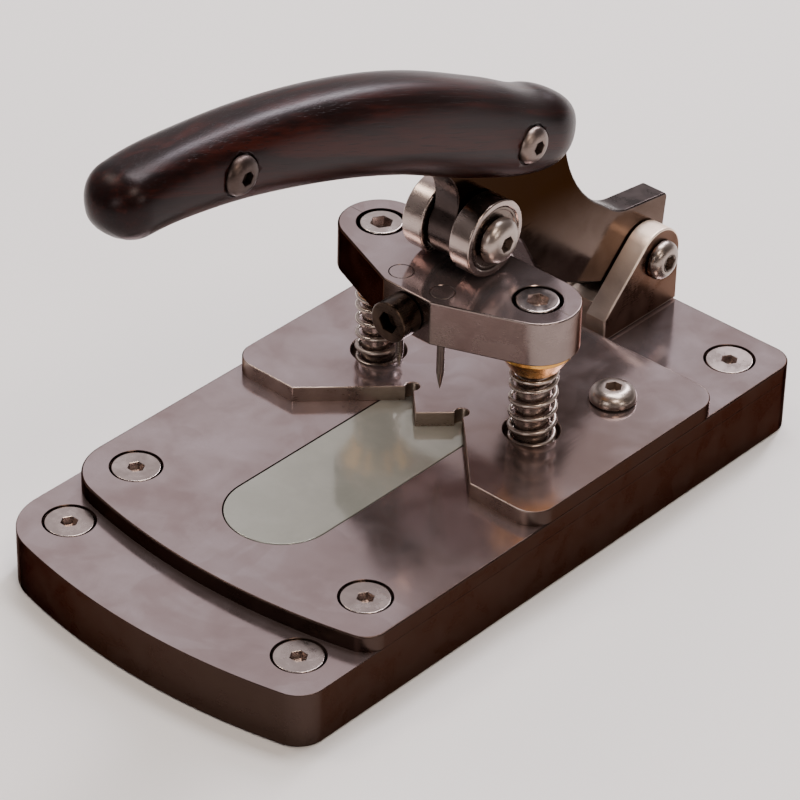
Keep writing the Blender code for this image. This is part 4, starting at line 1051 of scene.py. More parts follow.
@dataclass(frozen=True)
class Plates:
    """Base plate, upper plate, cutting insert and fence, with the screws that hold them."""

    bow: float = 0.1400
    base_corners: Pair = (0.0120, 0.0060)
    upper_corners: Pair = (0.0115, 0.0050)
    rear_corner: float = 0.0053
    edge: float = 0.00035
    shelf_edge: float = 0.00013
    seam_edge: float = 0.00007
    fence_edge: float = 0.000245
    insert_gap: float = 0.0002
    insert_edge: float = 0.00015
    pocket_edge: float = 0.0001
    screw_length: float = 0.0060
    sink_radius: float = 0.0052
    sink_land: float = 0.00045
    thread_hole: float = 0.0028
    bolt_hole: float = 0.0045
    bolt_sink: float = 0.0054
    hole_depth: float = 0.0070
    spring_hole: float = 0.0057
    post_hole: float = 0.0038
    relief_x: float = 0.0065
    relief_radius: float = 0.0014
    relief_from_front: float = 0.0168
    fence_front_corner: float = 0.0050
    fence_rear_corner: float = 0.0060
    wing_corner: float = 0.0006
    bow_steps: int = 24
    screw_rows: tuple[str, ...] = ("front", "plate", "rear")

    def bowed_half(self, box: Box, corner_radius: float) -> Array:
        """Right half of a plate: half an arc for the front, and a straight side between two corners.

        Args:
            box: Room of the plate.
            corner_radius: Radius of its front corner.

        Returns:
            Points from the front's middle round to the rear corner.
        """
        middle = box.low.y + self.bow
        corner_x = box.high.x - corner_radius
        corner_y = middle - math.sqrt((self.bow - corner_radius) ** 2 - corner_x**2)
        lean = math.atan2(corner_y - middle, corner_x)
        turn = np.linspace(-math.pi / 2, lean, self.bow_steps)
        bow = np.stack([self.bow * np.cos(turn), middle + self.bow * np.sin(turn)], axis=1)
        corner = arc((corner_x, corner_y), corner_radius, lean, 0.0)[1:]
        rear = (box.high.x - self.rear_corner, box.high.y - self.rear_corner)
        return np.vstack([bow, corner, arc(rear, self.rear_corner, 0.0, math.pi / 2)])

    def bowed(self, box: Box, corners: Pair) -> Array:
        """Plate outline with the radii of its left and right front corners."""
        left, right = (self.bowed_half(box, radius) for radius in corners)
        return np.vstack([right, left[:0:-1] * (-1, 1)])

    def sunk(self, node: str, top: float) -> Opening:
        """Blind countersunk hole of a flat head screw.

        Args:
            node: CAD node of the screw.
            top: Height of the face that the hole starts at.

        Returns:
            The hole.
        """
        land = top - self.sink_land
        cone_end = land - (self.sink_radius - self.thread_hole)
        floor = cone_end - self.thread_hole / 4
        mouth = [(self.sink_radius, top), (self.sink_radius, land), (self.thread_hole, cone_end)]
        return Opening.bored(Box.of(node).centre, [*mouth, (self.thread_hole, floor), (0.0, floor)])

    def build(self) -> None:
        """Make the four plates and their screws."""
        self.build_base()
        self.build_upper()
        self.build_fence()
        flat = Screw.flat(self.screw_length)
        for side in Side:
            for row in self.screw_rows:
                fit_screw(flat, f"{row}_screw_{side.label}", "base", Axis.UP)
            fit_screw(Screw(Head.BUTTON), f"fence_screw_{side.label}", "base", Axis.UP)

    def build_base(self) -> None:
        """Thick plate, with the shelf's two countersinks and the holes of the screws from below."""
        box = Box.of("base_plate")
        openings = [self.sunk(f"front_screw_{side.label}", box.high.z) for side in Side]
        radius, bolt, depth = self.thread_hole, self.bolt_hole, self.bolt_sink
        cone_end = self.sink_land + self.sink_radius - radius
        sunk = [(self.sink_radius, 0.0), (self.sink_radius, self.sink_land), (radius, cone_end)]
        bolted = [(bolt, 0.0), (bolt, depth), (radius, depth)]
        from_below = {f"post_foot_screw_{side.label}": sunk for side in Side}
        from_below |= {f"bracket_bolt_{end}": bolted for end in ("front", "rear")}
        thread = [(radius, self.hole_depth), (0.0, self.hole_depth)]
        for node, mouth in from_below.items():
            openings.append(Opening.bored(Box.of(node).centre, [*mouth, *thread]))
        outline = self.bowed(box, self.base_corners)
        shell = slab(outline, box.low.z, box.high.z, self.shelf_edge, openings, wall=1, foot=self.edge)
        fit_piece(shell, "shelf_plate", "base", [TOP, WALL], "base_plate")

    def build_upper(self) -> None:
        """Thin plate with the pocket of the insert, and the insert flush in it."""
        box, insert = Box.of("upper_plate").seated(), Box.of("anvil_insert")
        strip = self.strip(insert)
        gap, bevel = self.insert_gap, self.pocket_edge
        offsets = np.array([gap + bevel, gap, gap, gap])
        heights = np.array([box.high.z, box.high.z - bevel, box.low.z + bevel, box.low.z])
        openings = [Opening(strip, offsets, heights)]
        for side in Side:
            for row in self.screw_rows[1:]:
                openings.append(self.sunk_through(f"{row}_screw_{side.label}", box))
            post = Box.of(f"guide_post_{side.label}").centre
            openings.append(Opening.through(post, self.post_hole, box))
        outline = self.bowed(box, self.upper_corners)
        shell = slab(outline, box.low.z, box.high.z, self.edge, openings, wall=1, foot=self.seam_edge)
        fit_piece(shell, "work_plate", "base", [TOP, WALL], "upper_plate")
        shell = slab(strip, insert.low.z, insert.high.z, self.insert_edge)
        fit_piece(shell, "cutting_strip", "base", [INSERT], "anvil_insert")

    def strip(self, box: Box) -> Array:
        """Outline of the insert: a strip with round ends.

        Args:
            box: Room of the insert.

        Returns:
            Points as rows.
        """
        radius = box.size.x / 2
        front = arc((0.0, box.low.y + radius), radius, math.pi, 2 * math.pi)
        rear = arc((0.0, box.high.y - radius), radius, 0.0, math.pi)
        return np.vstack([front, rear])

    def sunk_through(self, node: str, box: Box) -> Opening:
        """Countersunk hole that goes through a plate thinner than the cone.

        Args:
            node: CAD node of the screw.
            box: Room of the plate.

        Returns:
            The hole.
        """
        top, land = box.high.z, box.high.z - self.sink_land
        last = self.sink_radius - (box.size.z - self.sink_land)
        profile = [(self.sink_radius, top), (self.sink_radius, land), (last, box.low.z)]
        return Opening.bored(Box.of(node).centre, profile)

    def fence_outline(self, box: Box) -> Array:
        """Fence from above: each square notch ends in a round relief, and a tooth stands between them.

        A relief is three quarters of a circle round the notch's corner, from one of the
        notch's edges, which lie at 45 degrees, round behind the corner to the other.

        Args:
            box: Room of the fence.

        Returns:
            Points as rows.
        """
        relief_y = box.low.y + self.relief_from_front
        wing_x = self.relief_x + self.relief_from_front
        start, end = math.radians(225.0), math.radians(-45.0)
        relief = [tuple(point) for point in arc((self.relief_x, relief_y), self.relief_radius, start, end)]
        right = [
            *relief,
            (wing_x, box.low.y, self.wing_corner),
            (box.high.x, box.low.y, self.fence_front_corner),
            (box.high.x, box.high.y, self.fence_rear_corner),
        ]
        tooth = (0.0, relief_y - self.relief_x, self.wing_corner / 2)
        return rounded([tooth, *mirrored(right)])

    def build_fence(self) -> None:
        """Fence plate with the two wide holes that the springs stand in."""
        box = Box.of("fence_plate").seated()
        posts = [Box.of(f"guide_post_{side.label}").centre for side in Side]
        openings = [Opening.through(post, self.spring_hole, box) for post in posts]
        outline, edge = self.fence_outline(box), self.fence_edge
        shell = slab(outline, box.low.z, box.high.z, edge, openings, wall=1, foot=self.seam_edge)
        fit_piece(shell, "strap_fence", "base", [TOP, EDGE], "fence_plate")


# Guide posts


@dataclass(frozen=True)
class GuidePosts:
    """Two posts with a cap screw on top, a flat screw below and a return spring round each."""

    edge: float = 0.0003
    wire: float = 0.0010
    spring_radius: float = 0.0044
    open_turns: float = 4.2
    end_rise: float = 0.0015
    per_turn: int = 40
    pressed_share: float = 0.41
    screw_length: float = 0.0100

    def build(self) -> None:
        """Make both posts with their screws and springs."""
        cap, foot = Screw.cap(self.screw_length), Screw.flat(self.screw_length)
        for side in Side:
            self.build_post(side)
            self.build_spring(side)
            fit_screw(cap, f"post_cap_screw_{side.label}", "base", Axis.UP)
            fit_screw(foot, f"post_foot_screw_{side.label}", "base", Axis.DOWN)

    def build_post(self, side: Side) -> None:
        """Ground post with rounded rims.

        Args:
            side: Which post.
        """
        node = f"guide_post_{side.label}"
        box = Box.of(node)
        shell = round_bar(box.size.x / 2, box.size.z / 2, self.edge).placed(Axis.UP, box.centre)
        fit_piece(shell, f"post_{side.label}", "base", [GROUND], node)

    def route(self, height: float) -> Array:
        """Centre line of a spring: a helix that rises little over its first and last turn.

        Args:
            height: Height of the fitted spring.

        Returns:
            Points as rows, about the spring's own axis.
        """
        pitch = (height - self.wire - 2 * self.end_rise) / self.open_turns
        turns = self.open_turns + 2
        along = np.linspace(0.0, turns, round(turns * self.per_turn) + 1)
        rise = self.end_rise * np.minimum(along, 1.0)
        rise = rise + pitch * np.clip(along - 1.0, 0.0, self.open_turns)
        rise = rise + self.end_rise * np.maximum(along - turns + 1.0, 0.0)
        angle = 2 * np.pi * along
        across = self.spring_radius * np.stack([np.cos(angle), np.sin(angle)], axis=1)
        return np.column_stack([across, rise])

    def build_spring(self, side: Side) -> None:
        """Return spring as one unbroken wire, with a mesh of its own.

        Args:
            side: Which spring.
        """
        node = f"return_spring_{side.label}"
        post, box = Box.of(f"guide_post_{side.label}"), Box.of(node)
        foot = Vector((post.centre.x, post.centre.y, box.low.z))
        route = self.route(box.size.z) + np.array(foot) + (0.0, 0.0, self.wire / 2)
        shell = wire(route, self.wire / 2, np.array(foot))
        piece = fit_piece(shell, f"spring_{side.label}", "base", [WIRE], node)
        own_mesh(piece)


# Punch holder


@dataclass(frozen=True)
class PunchHolder:
    """Block that slides on the posts, with its needles, bushes and clamp screw."""

    nose_half: float = 0.0060
    nose_corner: float = 0.0012
    edge: float = 0.00035
    head_bore: float = 0.00495
    head_depth: float = 0.0053
    post_bore: float = 0.0046
    needle_shank: float = 0.0024
    needle_gap: float = 0.0001
    needle_mouth: float = 0.00006
    needle_step: float = 0.0002
    needle_edge: float = 0.0001
    blade: float = 0.0008
    taper: float = 0.0040
    taper_bow: float = 0.8
    taper_steps: int = 14
    needle_sides: int = 48
    bush_sides: int = 96
    clamp_length: float = 0.0080
    bush_foot: float = 0.0049
    bush_flange: float = 0.0050
    bush_rim: float = 0.0011
    bush_wall: float = 0.0005
    bush_gap: float = 0.0003
    bush_edges: Point = (0.0002, 0.0003, 0.0004)
    line_width: float = 0.00012
    line_rise: float = 0.00001
    line_ends: Pair = (0.0002, 0.0004)

    def outline(self, box: Box, post: Vector) -> Array:
        """Holder from above: a narrow nose whose edges touch the round boss of each post.

        Args:
            box: Room of the holder.
            post: Centre of the right post.

        Returns:
            Points as rows.
        """
        boss = box.high.y - post.y
        nose = Vector((self.nose_half, box.low.y))
        offset = nose - Vector((post.x, post.y))
        touch = math.atan2(offset.y, offset.x) + math.acos(boss / offset.length)
        round_boss = [tuple(point) for point in arc((post.x, post.y), boss, touch, math.pi / 2)]
        return rounded(mirrored([(*nose, self.nose_corner), *round_boss]))

    def build(self) -> None:
        """Make the holder and what it carries."""
        box, post = Box.of("punch_holder"), Box.of("guide_post_right").centre
        top, low, step = box.high.z, box.low.z, box.high.z - self.head_depth
        wide, narrow = self.head_bore, self.post_bore
        bore = [(wide, top), (wide, step), (narrow, step), (narrow, low)]
        openings = []
        for side in Side:
            openings.append(Opening.bored((side.value * post.x, post.y), bore))
            needle = Box.of(f"needle_{side.label}")
            hole = self.needle_shank + self.needle_gap
            openings.append(Opening.through(needle.centre, hole, box, self.needle_mouth))
            self.build_needle(side, needle, box)
            self.build_bush(side)
            self.build_line(side, box, post)
        shell = slab(self.outline(box, post), low, top, self.edge, openings, wall=1)
        fit_piece(shell, "needle_holder", "ram", [TOP, HOLDER_WALL], "punch_holder")
        fit_screw(Screw.cap(self.clamp_length), "needle_clamp_screw", "ram", Axis.FORWARD, BLACK)

    def build_needle(self, side: Side, box: Box, holder: Box) -> None:
        """Needle: a long taper to its point, a slim blade and a thick shank, flush with the holder.

        Args:
            side: Which needle.
            box: Room of the needle.
            holder: Room of the holder.
        """
        tip, top, step = box.low.z, box.high.z, holder.low.z
        share = np.linspace(0.0, 1.0, self.taper_steps)
        taper = np.stack([self.blade * share**self.taper_bow, tip + self.taper * share], axis=1)
        radius = self.needle_shank
        shank = [
            (self.blade, step),
            (radius, step + self.needle_step),
            (radius, top, self.needle_edge),
            (0.0, top),
        ]
        profile = np.vstack([taper, rounded(shank, closed=False)])
        shell = lathed(profile, self.needle_sides).placed(Axis.UP, (box.centre.x, box.centre.y, 0.0))
        name, node = f"piercing_needle_{side.label}", f"needle_{side.label}"
        self.face_like_holder(fit_piece(shell, name, "ram", [NEEDLE, TOP], node), top)

    def face_like_holder(self, piece: Piece, top: float) -> None:
        """Give a needle's flat head its second finish, that of the face it is flush with.

        Args:
            piece: The needle.
            top: Height of its head.
        """
        faces = piece.data.polygons
        centres = np.empty(3 * len(faces))
        faces.foreach_get("center", centres)
        faces.foreach_set("material_index", (centres[2::3] > top - WELD).astype(np.int32))

    def build_bush(self, side: Side) -> None:
        """Flanged bush: a sleeve round the post, and a flange that tapers to the spring below.

        Args:
            side: Which bush.
        """
        node = f"guide_bush_{side.label}"
        box, post = Box.of(node), Box.of(f"guide_post_{side.label}")
        bore = post.size.x / 2 + self.bush_gap
        sleeve, flange_radius = bore + self.bush_wall, box.size.x / 2
        low, top = box.low.z, box.high.z
        flange_top = low + self.bush_flange
        fine, foot_edge, rim_edge = self.bush_edges
        corners = [
            (bore, low, fine),
            (self.bush_foot, low, foot_edge),
            (flange_radius, flange_top - self.bush_rim, rim_edge),
            (flange_radius, flange_top, fine),
            (sleeve, flange_top),
            (sleeve, top),
            (bore, top),
        ]
        shell = lathed(rounded(corners), self.bush_sides, ring=True)
        shell = shell.placed(Axis.UP, (box.centre.x, box.centre.y, 0.0))
        fit_piece(shell, f"flanged_bush_{side.label}", "ram", [BRASS], node)

    def build_line(self, side: Side, box: Box, post: Vector) -> None:
        """Scribed line from the rim of a post's bore out to the edge, along X.

        Args:
            side: Which post.
            box: Room of the holder.
            post: Centre of the right post.
        """
        boss = box.high.y - post.y
        near, far = self.line_ends
        ends = (side.value * (post.x + self.head_bore + near), side.value * (post.x + boss - far))
        inner, outer = sorted(ends)
        half = self.line_width / 2
        corners = [(inner, -half), (outer, -half), (outer, half), (inner, half)]
        shell = slab(np.array(corners), -self.line_rise, self.line_rise, self.line_rise)
        shell = shell.placed(Axis.UP, (0.0, post.y, box.high.z))
        fit_piece(shell, f"scribed_line_{side.label}", "ram", [BLACK])


# Pivot bracket


@dataclass(frozen=True)
class PivotBracket:
    """Two ears joined by a low web and floor, with the pivot pin, its screws and the bolts."""

    edge: float = 0.0004
    inner_edge: float = 0.0002
    ear_inner: float = 0.0033
    web_setback: float = 0.0018
    web_length: float = 0.0025
    web_rise: float = 0.0074
    web_slope: float = 0.0045
    floor: float = 0.0045
    slope_touch: float = math.radians(135.0)
    pin_edge: float = 0.0003
    button_radius: float = 0.0042
    button_height: float = 0.0025
    bolt_length: float = 0.0060

    def build(self) -> None:
        """Make the bracket, the pin and their screws."""
        self.build_ears()
        pin = Box.of("pivot_pin")
        shell = round_bar(pin.size.z / 2, pin.size.x / 2, self.pin_edge).placed(Axis.RIGHT, pin.centre)
        fit_piece(shell, "hinge_pin", "base", [GROUND], "pivot_pin")
        button = Screw(Head.BUTTON, radius=self.button_radius, height=self.button_height)
        for side in Side:
            fit_screw(button, f"pivot_screw_{side.label}", "base", side.outward)
        for end in ("front", "rear"):
            fit_screw(Screw.cap(self.bolt_length), f"bracket_bolt_{end}", "base", Axis.DOWN)

    def side_view(self, box: Box, pivot: Vector) -> Array:
        """Ear from the side: a round top, a slope of 45 degrees that touches it, and a short front.

        Args:
            box: Room of the bracket.
            pivot: Centre of the pin.

        Returns:
            Points as rows of (y, z).
        """
        radius, touch = box.high.y - pivot.y, self.slope_touch
        shoulder = (pivot.y + radius * math.cos(touch), pivot.z + radius * math.sin(touch))
        breaks = np.cumsum([box.low.y, self.web_setback, self.web_length, self.web_slope])
        slope = np.stack([breaks, shoulder[1] - (shoulder[0] - breaks)], axis=1)
        top = arc((pivot.y, pivot.z), radius, touch, 0.0)
        return np.vstack([[(box.high.y, box.low.z), (box.low.y, box.low.z)], slope, top])

    def build_ears(self) -> None:
        """Bracket: the ear's outline carried across the press, and cut down between the ears.

        There a point keeps no more height than the web's profile has at its
        place, and none lies before the web's front.
        """
        box, pivot = Box.of("pivot_bracket"), Box.of("pivot_pin").centre
        ear = self.side_view(box, pivot)[::-1]
        web_y = box.low.y + self.web_setback
        places = web_y + np.array([0.0, self.web_length, self.web_length + self.web_slope])
        levels = box.low.z + np.array([self.web_rise, self.web_rise, self.floor])
        middle_y = np.maximum(ear[:, 0], web_y)
        middle_z = np.minimum(ear[:, 1], np.interp(middle_y, places, levels))
        offset, drop = eased(self.edge)
        fine, fine_drop = eased(self.inner_edge)
        across = np.concatenate([box.high.x - drop, (self.ear_inner + fine_drop)[::-1]])
        ears = carried(ear, np.concatenate([offset, fine[::-1]]), across)
        inner = (self.ear_inner, -self.ear_inner)
        floor = np.stack([np.stack([middle_y, middle_z, np.full_like(middle_y, x)], axis=1) for x in inner])
        shell = Shell()
        index = shell.add(np.concatenate([ears, floor, ears[::-1] * (1, 1, -1)]))
        shell.skin(index)
        shell.cap([index[0]], shade=1)
        shell.cap([index[-1]], shade=1)
        shell = shell.placed(Axis.RIGHT, (0, 0, 0))
        fit_piece(shell, "hinge_bracket", "base", [EAR_SLOPE, EAR_FACE], "pivot_bracket")


# Lever and grip


@dataclass(frozen=True)
class GripForm:
    """Centre line and sections of the grip, from its reach before the pivot.

    A station holds the reach, the rise above the pivot, the half height and the half width.
    """

    stations: tuple[tuple[float, float, float, float], ...] = (
        (0.0238, 0.0411, 0.0078, 0.0088),
        (0.0365, 0.0431, 0.0086, 0.0091),
        (0.0515, 0.0497, 0.0096, 0.0090),
        (0.0728, 0.0597, 0.0096, 0.0088),
        (0.0999, 0.0685, 0.0089, 0.0083),
        (0.1253, 0.0733, 0.0077, 0.0078),
        (0.1377, 0.0743, 0.0072, 0.0076),
        (0.14945, 0.0735, 0.0066, 0.0072),
    )
    inset: float = 0.00014
    rear_round: float = 0.0110
    tip_round: float = 0.0070
    squareness: float = 2.4

    @property
    def rear(self) -> float:
        """Reach of the rear end."""
        return self.stations[0][0]

    @property
    def tip(self) -> float:
        """Reach of the front end."""
        return self.stations[-1][0]

    def section(self, reach: Array) -> tuple[Array, Array, Array, Array]:
        """Cubic through the stations: rise, slope, half height and half width at each reach.

        Between two stations each value is the Hermite cubic of their values and slopes.

        Args:
            reach: Reach of each section.

        Returns:
            Rise, slope, half height and half width of each section.
        """
        table = np.array(self.stations)
        slopes = np.gradient(table[:, 1:], table[:, 0], axis=0)
        row = np.clip(np.searchsorted(table[:, 0], reach) - 1, 0, len(table) - 2)
        span = (table[row + 1, 0] - table[row, 0])[:, None]
        t = (reach - table[row, 0])[:, None] / span
        first, last = table[row, 1:], table[row + 1, 1:]
        value = (2 * t**3 - 3 * t**2 + 1) * first + (t**3 - 2 * t**2 + t) * span * slopes[row]
        value = value + (3 * t**2 - 2 * t**3) * last + (t**3 - t**2) * span * slopes[row + 1]
        rate = (6 * t**2 - 6 * t) * (first - last) / span
        rate = rate + (3 * t**2 - 4 * t + 1) * slopes[row] + (3 * t**2 - 2 * t) * slopes[row + 1]
        return value[:, 0], rate[:, 0], value[:, 1] - self.inset, value[:, 2] - self.inset

    def frame_at(self, reach: Array) -> tuple[Array, Array, Array, Array]:
        """Sections in the lever's plane.

        Args:
            reach: Reach of each section.

        Returns:
            Centre and upward normal, as rows of (y, z), and half height and half width of each.
        """
        rise, slope, half_height, half_width = self.section(reach)
        pivot = Box.of("pivot_pin").centre
        centre = np.stack([pivot.y - reach, pivot.z + rise], axis=1)
        normal = np.stack([slope, np.ones_like(slope)], axis=1)
        return centre, normal / np.linalg.norm(normal, axis=1, keepdims=True), half_height, half_width

    def share(self, reach: Array) -> Array:
        """Share of the full section left where an end rounds off, as a quarter of an ellipse."""
        depth = np.minimum((reach - self.rear) / self.rear_round, (self.tip - reach) / self.tip_round)
        return np.sqrt(np.clip(1.0 - (1.0 - np.clip(depth, 0.0, 1.0)) ** 2, 0.0, 1.0))


@dataclass(frozen=True)
class PressLever:
    """Steel lever plate: nose, belly, hub, stop tail and the tang inside the grip."""

    form: GripForm = field(default_factory=GripForm)
    edge: float = 0.00035
    nose_radius: float = 0.0068
    nose_start: float = math.radians(140.0)
    hub_radius: float = 0.0072
    front_edge_reach: float = 0.0612
    front_edge_waist: Pair = (0.0048, 0.0078)
    belly_reach: float = 0.0395
    belly_radius: float = 0.0080
    knee: Pair = (0.0305, 0.0058)
    knee_radius: float = 0.0015
    tail_corner: Pair = (-0.00828, 0.0100)
    tail_radius: float = 0.0012
    back_step: Pair = (0.0075, 0.0121)
    back_step_radius: float = 0.0120
    back_low: Pair = (0.0130, 0.0164)
    back_middle: Pair = (0.0223, 0.0263)
    back_top: Pair = (0.0260, 0.0382)
    tang_rear: float = 0.0312
    tang_reach: float = 0.1300
    recess: float = 0.0002
    wood_over: float = 0.0036
    tang_steps: int = 28

    def tang_edge(self, first: float, last: float, upper: bool) -> Array:
        """Edge of the tang, as far inside the grip's own edge as the wood is thick.

        Args:
            first: Reach that it starts at.
            last: Reach that it ends at.
            upper: Whether it is the upper edge.

        Returns:
            Points as rows of (y, z).
        """
        centre, normal, half_height, _ = self.form.frame_at(np.linspace(first, last, self.tang_steps))
        inset = half_height - self.wood_over if upper else self.recess - half_height
        return centre + normal * inset[:, None]

    def outline(self) -> Array:
        """Side view of the lever, in order: tang, front edge, nose, belly, hub, tail and back.

        Returns:
            Points as rows of (y, z).
        """
        pivot = Box.of("pivot_pin").centre
        screw = Box.of("roller_screw_right").centre

        def at(corner: Pair) -> Pair:
            """Corner from its reach before the pivot and rise above it."""
            return (pivot.y - corner[0], pivot.z + corner[1])

        lower = self.tang_edge(self.tang_reach, self.front_edge_reach, upper=False)
        nose = arc((screw.y, screw.z), self.nose_radius, self.nose_start, 1.5 * math.pi)
        waist = (screw.y - self.front_edge_waist[0], screw.z + self.front_edge_waist[1])
        front = arc_through(lower[-1], waist, nose[0])
        knee = at(self.knee)
        offset = Vector(knee) - Vector((pivot.y, pivot.z))
        touch = math.atan2(offset.y, offset.x) + math.acos(self.hub_radius / offset.length)
        hub = arc((pivot.y, pivot.z), self.hub_radius, touch, 2 * math.pi)
        back = arc_through(at(self.back_low), at(self.back_middle), at(self.back_top))
        upper = self.tang_edge(self.tang_rear, self.tang_reach, upper=True)
        return rounded([
            *map(tuple, np.vstack([lower[:-1], front[:-1], nose])),
            (pivot.y - self.belly_reach, screw.z - self.nose_radius, self.belly_radius),
            (*knee, self.knee_radius),
            *map(tuple, hub),
            (*at(self.tail_corner), self.tail_radius),
            (*at(self.back_step), self.back_step_radius),
            *map(tuple, np.vstack([back, upper])),
        ])

    def build(self) -> None:
        """Make the lever plate."""
        box = Box.of("lever")
        shell = slab(self.outline(), box.low.x, box.high.x, self.edge, wall=1)
        fit_piece(shell.placed(Axis.RIGHT, (0, 0, 0)), "press_lever", "lever", [LEVER, LEVER_EDGE], "lever")


@dataclass(frozen=True)
class WoodGrip:
    """Grip of dark wood over the tang, with a button screw through each end."""

    lever: PressLever = field(default_factory=PressLever)
    slot_half: float = 0.0033
    gap: float = 0.0003
    slot_share: float = 0.7
    around: int = 60
    slot_steps: int = 5
    end_steps: int = 16
    slotted_steps: int = 90
    solid_steps: int = 14
    screw_head: float = 0.0038
    screw_height: float = 0.0022
    screw_thread: float = 0.0017
    screw_socket: float = 0.0025
    screw_length: float = 0.0090
    screw_land: float = 0.0004
    spot_gap: float = 0.00035
    spot_edge: float = 0.0002
    spot_depth: float = 0.006
    nut_head: float = 0.0015
    nut_sleeve: float = 0.0025
    nut_length: float = 0.010
    nut_crown: float = 0.0003
    nut_crown_end: float = math.radians(40.0)
    nut_crown_share: float = 0.9
    nut_rim_share: float = 0.75

    def build(self) -> None:
        """Make the grip, its screws and its sleeve nuts."""
        grip = fit_piece(self.shell(), "wood_grip", "lever", [WOOD], "handle_grip")
        self.let_in(grip, [self.spot(end, side) for end in ("front", "rear") for side in Side])
        screw = Screw(
            Head.BUTTON,
            radius=self.screw_head,
            height=self.screw_height,
            thread=self.screw_thread,
            socket=self.screw_socket,
            length=self.screw_length,
            land=self.screw_land,
        )
        # The front screw takes the finish with painted shade.
        for end, finish in (("front", SHADED_GRIP_SCREW), ("rear", GRIP_SCREW)):
            fit_screw(screw, f"handle_screw_{end}", "lever", Axis.RIGHT, finish)
            self.build_nut(end)

    def shell(self) -> Shell:
        """Grip as a grid of reach by the way round each section.

        A section is a superellipse from the slot's left lip over the top to its right lip,
        and then the slot's wall, roof and other wall. Where the tang ends, the roof drops
        to the lower surface, so that the slot closes.

        Returns:
            The grip's shell.
        """
        form = self.lever.form
        turn = np.linspace(0.0, math.pi / 2, self.end_steps)
        rear = form.rear + form.rear_round * (1 - np.cos(turn))
        tip = form.tip - form.tip_round * (1 - np.cos(turn[::-1]))
        slot_end = self.lever.tang_reach + self.gap
        slotted = np.linspace(rear[-1], slot_end, self.slotted_steps)[1:]
        solid = np.linspace(slot_end, tip[0], self.solid_steps)[:-1]
        reach = np.concatenate([rear, slotted, solid, tip])
        last_open = len(rear) + len(slotted) - 1
        centre, normal, half_height, half_width = form.frame_at(reach)
        share = form.share(reach)
        high, wide = (half_height * share)[:, None], (half_width * share)[:, None]
        full_high, full_wide = np.maximum(high, NO_WIDTH), np.maximum(wide, NO_WIDTH)
        power = 2 / form.squareness
        lip_x = np.minimum(self.slot_half, self.slot_share * wide)

        def lower(x: Array) -> Array:
            """Height of the section's lower side at a distance across."""
            inside = np.clip(1.0 - (np.abs(x) / full_wide) ** form.squareness, 0.0, 1.0)
            return -high * inside ** (power / 2)

        lip_height = np.abs(lower(lip_x) / full_high) ** (1 / power)
        start = np.arctan2(-lip_height, (lip_x / full_wide) ** (1 / power))
        sweep = start + (math.pi - 2 * start) * np.linspace(0.0, 1.0, self.around)[None, :]
        cosine, sine = np.cos(sweep), np.sin(sweep)
        outer_x = np.sign(cosine) * np.abs(cosine) ** power * wide
        outer_z = np.sign(sine) * np.abs(sine) ** power * high
        roof_x = lip_x * np.linspace(-1.0, 1.0, self.slot_steps)[None, :]
        roof_z = np.maximum(self.roof(reach, last_open)[:, None], lower(roof_x))
        across = np.concatenate([outer_x, roof_x], axis=1)
        up = np.concatenate([outer_z, roof_z], axis=1)
        flat = centre[:, None] + normal[:, None] * up[..., None]
        shell = Shell()
        shell.skin(shell.add(np.concatenate([across[..., None], flat], axis=2)))
        return shell

    def roof(self, reach: Array, last_open: int) -> Array:
        """Height of the slot's roof above the centre line.

        It runs over the tang, down behind its rear, and ends past its tip.

        Args:
            reach: Reach of each section.
            last_open: Last section that the slot opens.

        Returns:
            A height for each section.
        """
        form = self.lever.form
        centre, _, half_height, _ = form.frame_at(reach)
        over = half_height - self.lever.wood_over + self.gap
        top, rear = self.lever.back_top, self.lever.tang_rear
        pivot = Box.of("pivot_pin").centre
        corner = self.lever.tang_edge(rear, self.lever.tang_reach, upper=True)[0]
        corner_reach, corner_rise = pivot.y - corner[0], corner[1] - pivot.z
        slope = (corner_rise - top[1]) / (corner_reach - top[0])
        behind = top[1] + slope * (reach - top[0] + self.gap) + pivot.z - centre[:, 1]
        roof = np.minimum(over, behind)
        roof[last_open + 1 :] = -1.0
        return roof

    def spot(self, end: str, side: Side) -> Piece:
        """Cutter of the flat seat under a screw head or nut.

        Args:
            end: Which end of the grip.
            side: Which side of it.

        Returns:
            The cutter.
        """
        part = "screw" if side is Side.RIGHT else "nut"
        centre = Box.of(f"handle_{part}_{end}").centre
        seat = Box.of(f"handle_screw_{end}").high.x - self.screw_height - self.gap
        radius, depth = self.screw_head + self.spot_gap, self.spot_depth
        profile = rounded([(0.0, 0.0), (radius, 0.0, self.spot_edge), (radius, depth), (0.0, depth)], False)
        shell = lathed(profile).placed(side.outward, (side.value * seat, centre.y, centre.z))
        return shell.piece(f"spot_{end}_{side.label}", [RACK.material(WOOD)])

    def let_in(self, grip: Piece, cutters: list[Piece]) -> None:
        """Cut the flat seats into the grip's own mesh, and take the cutters away.

        Args:
            grip: The grip.
            cutters: Cutters of the seats.
        """
        for cutter in cutters:
            boolean = grip.modifiers.new(cutter.name, "BOOLEAN")
            boolean.operation = "DIFFERENCE"
            boolean.solver = "EXACT"
            boolean.object = cutter
        graph = bpy.context.evaluated_depsgraph_get()
        mesh = bpy.data.meshes.new_from_object(grip.evaluated_get(graph), depsgraph=graph)
        grip.modifiers.clear()
        grip.data = mesh
        grip.data.name = "wood_grip"
        for cutter in cutters:
            bpy.data.objects.remove(cutter)

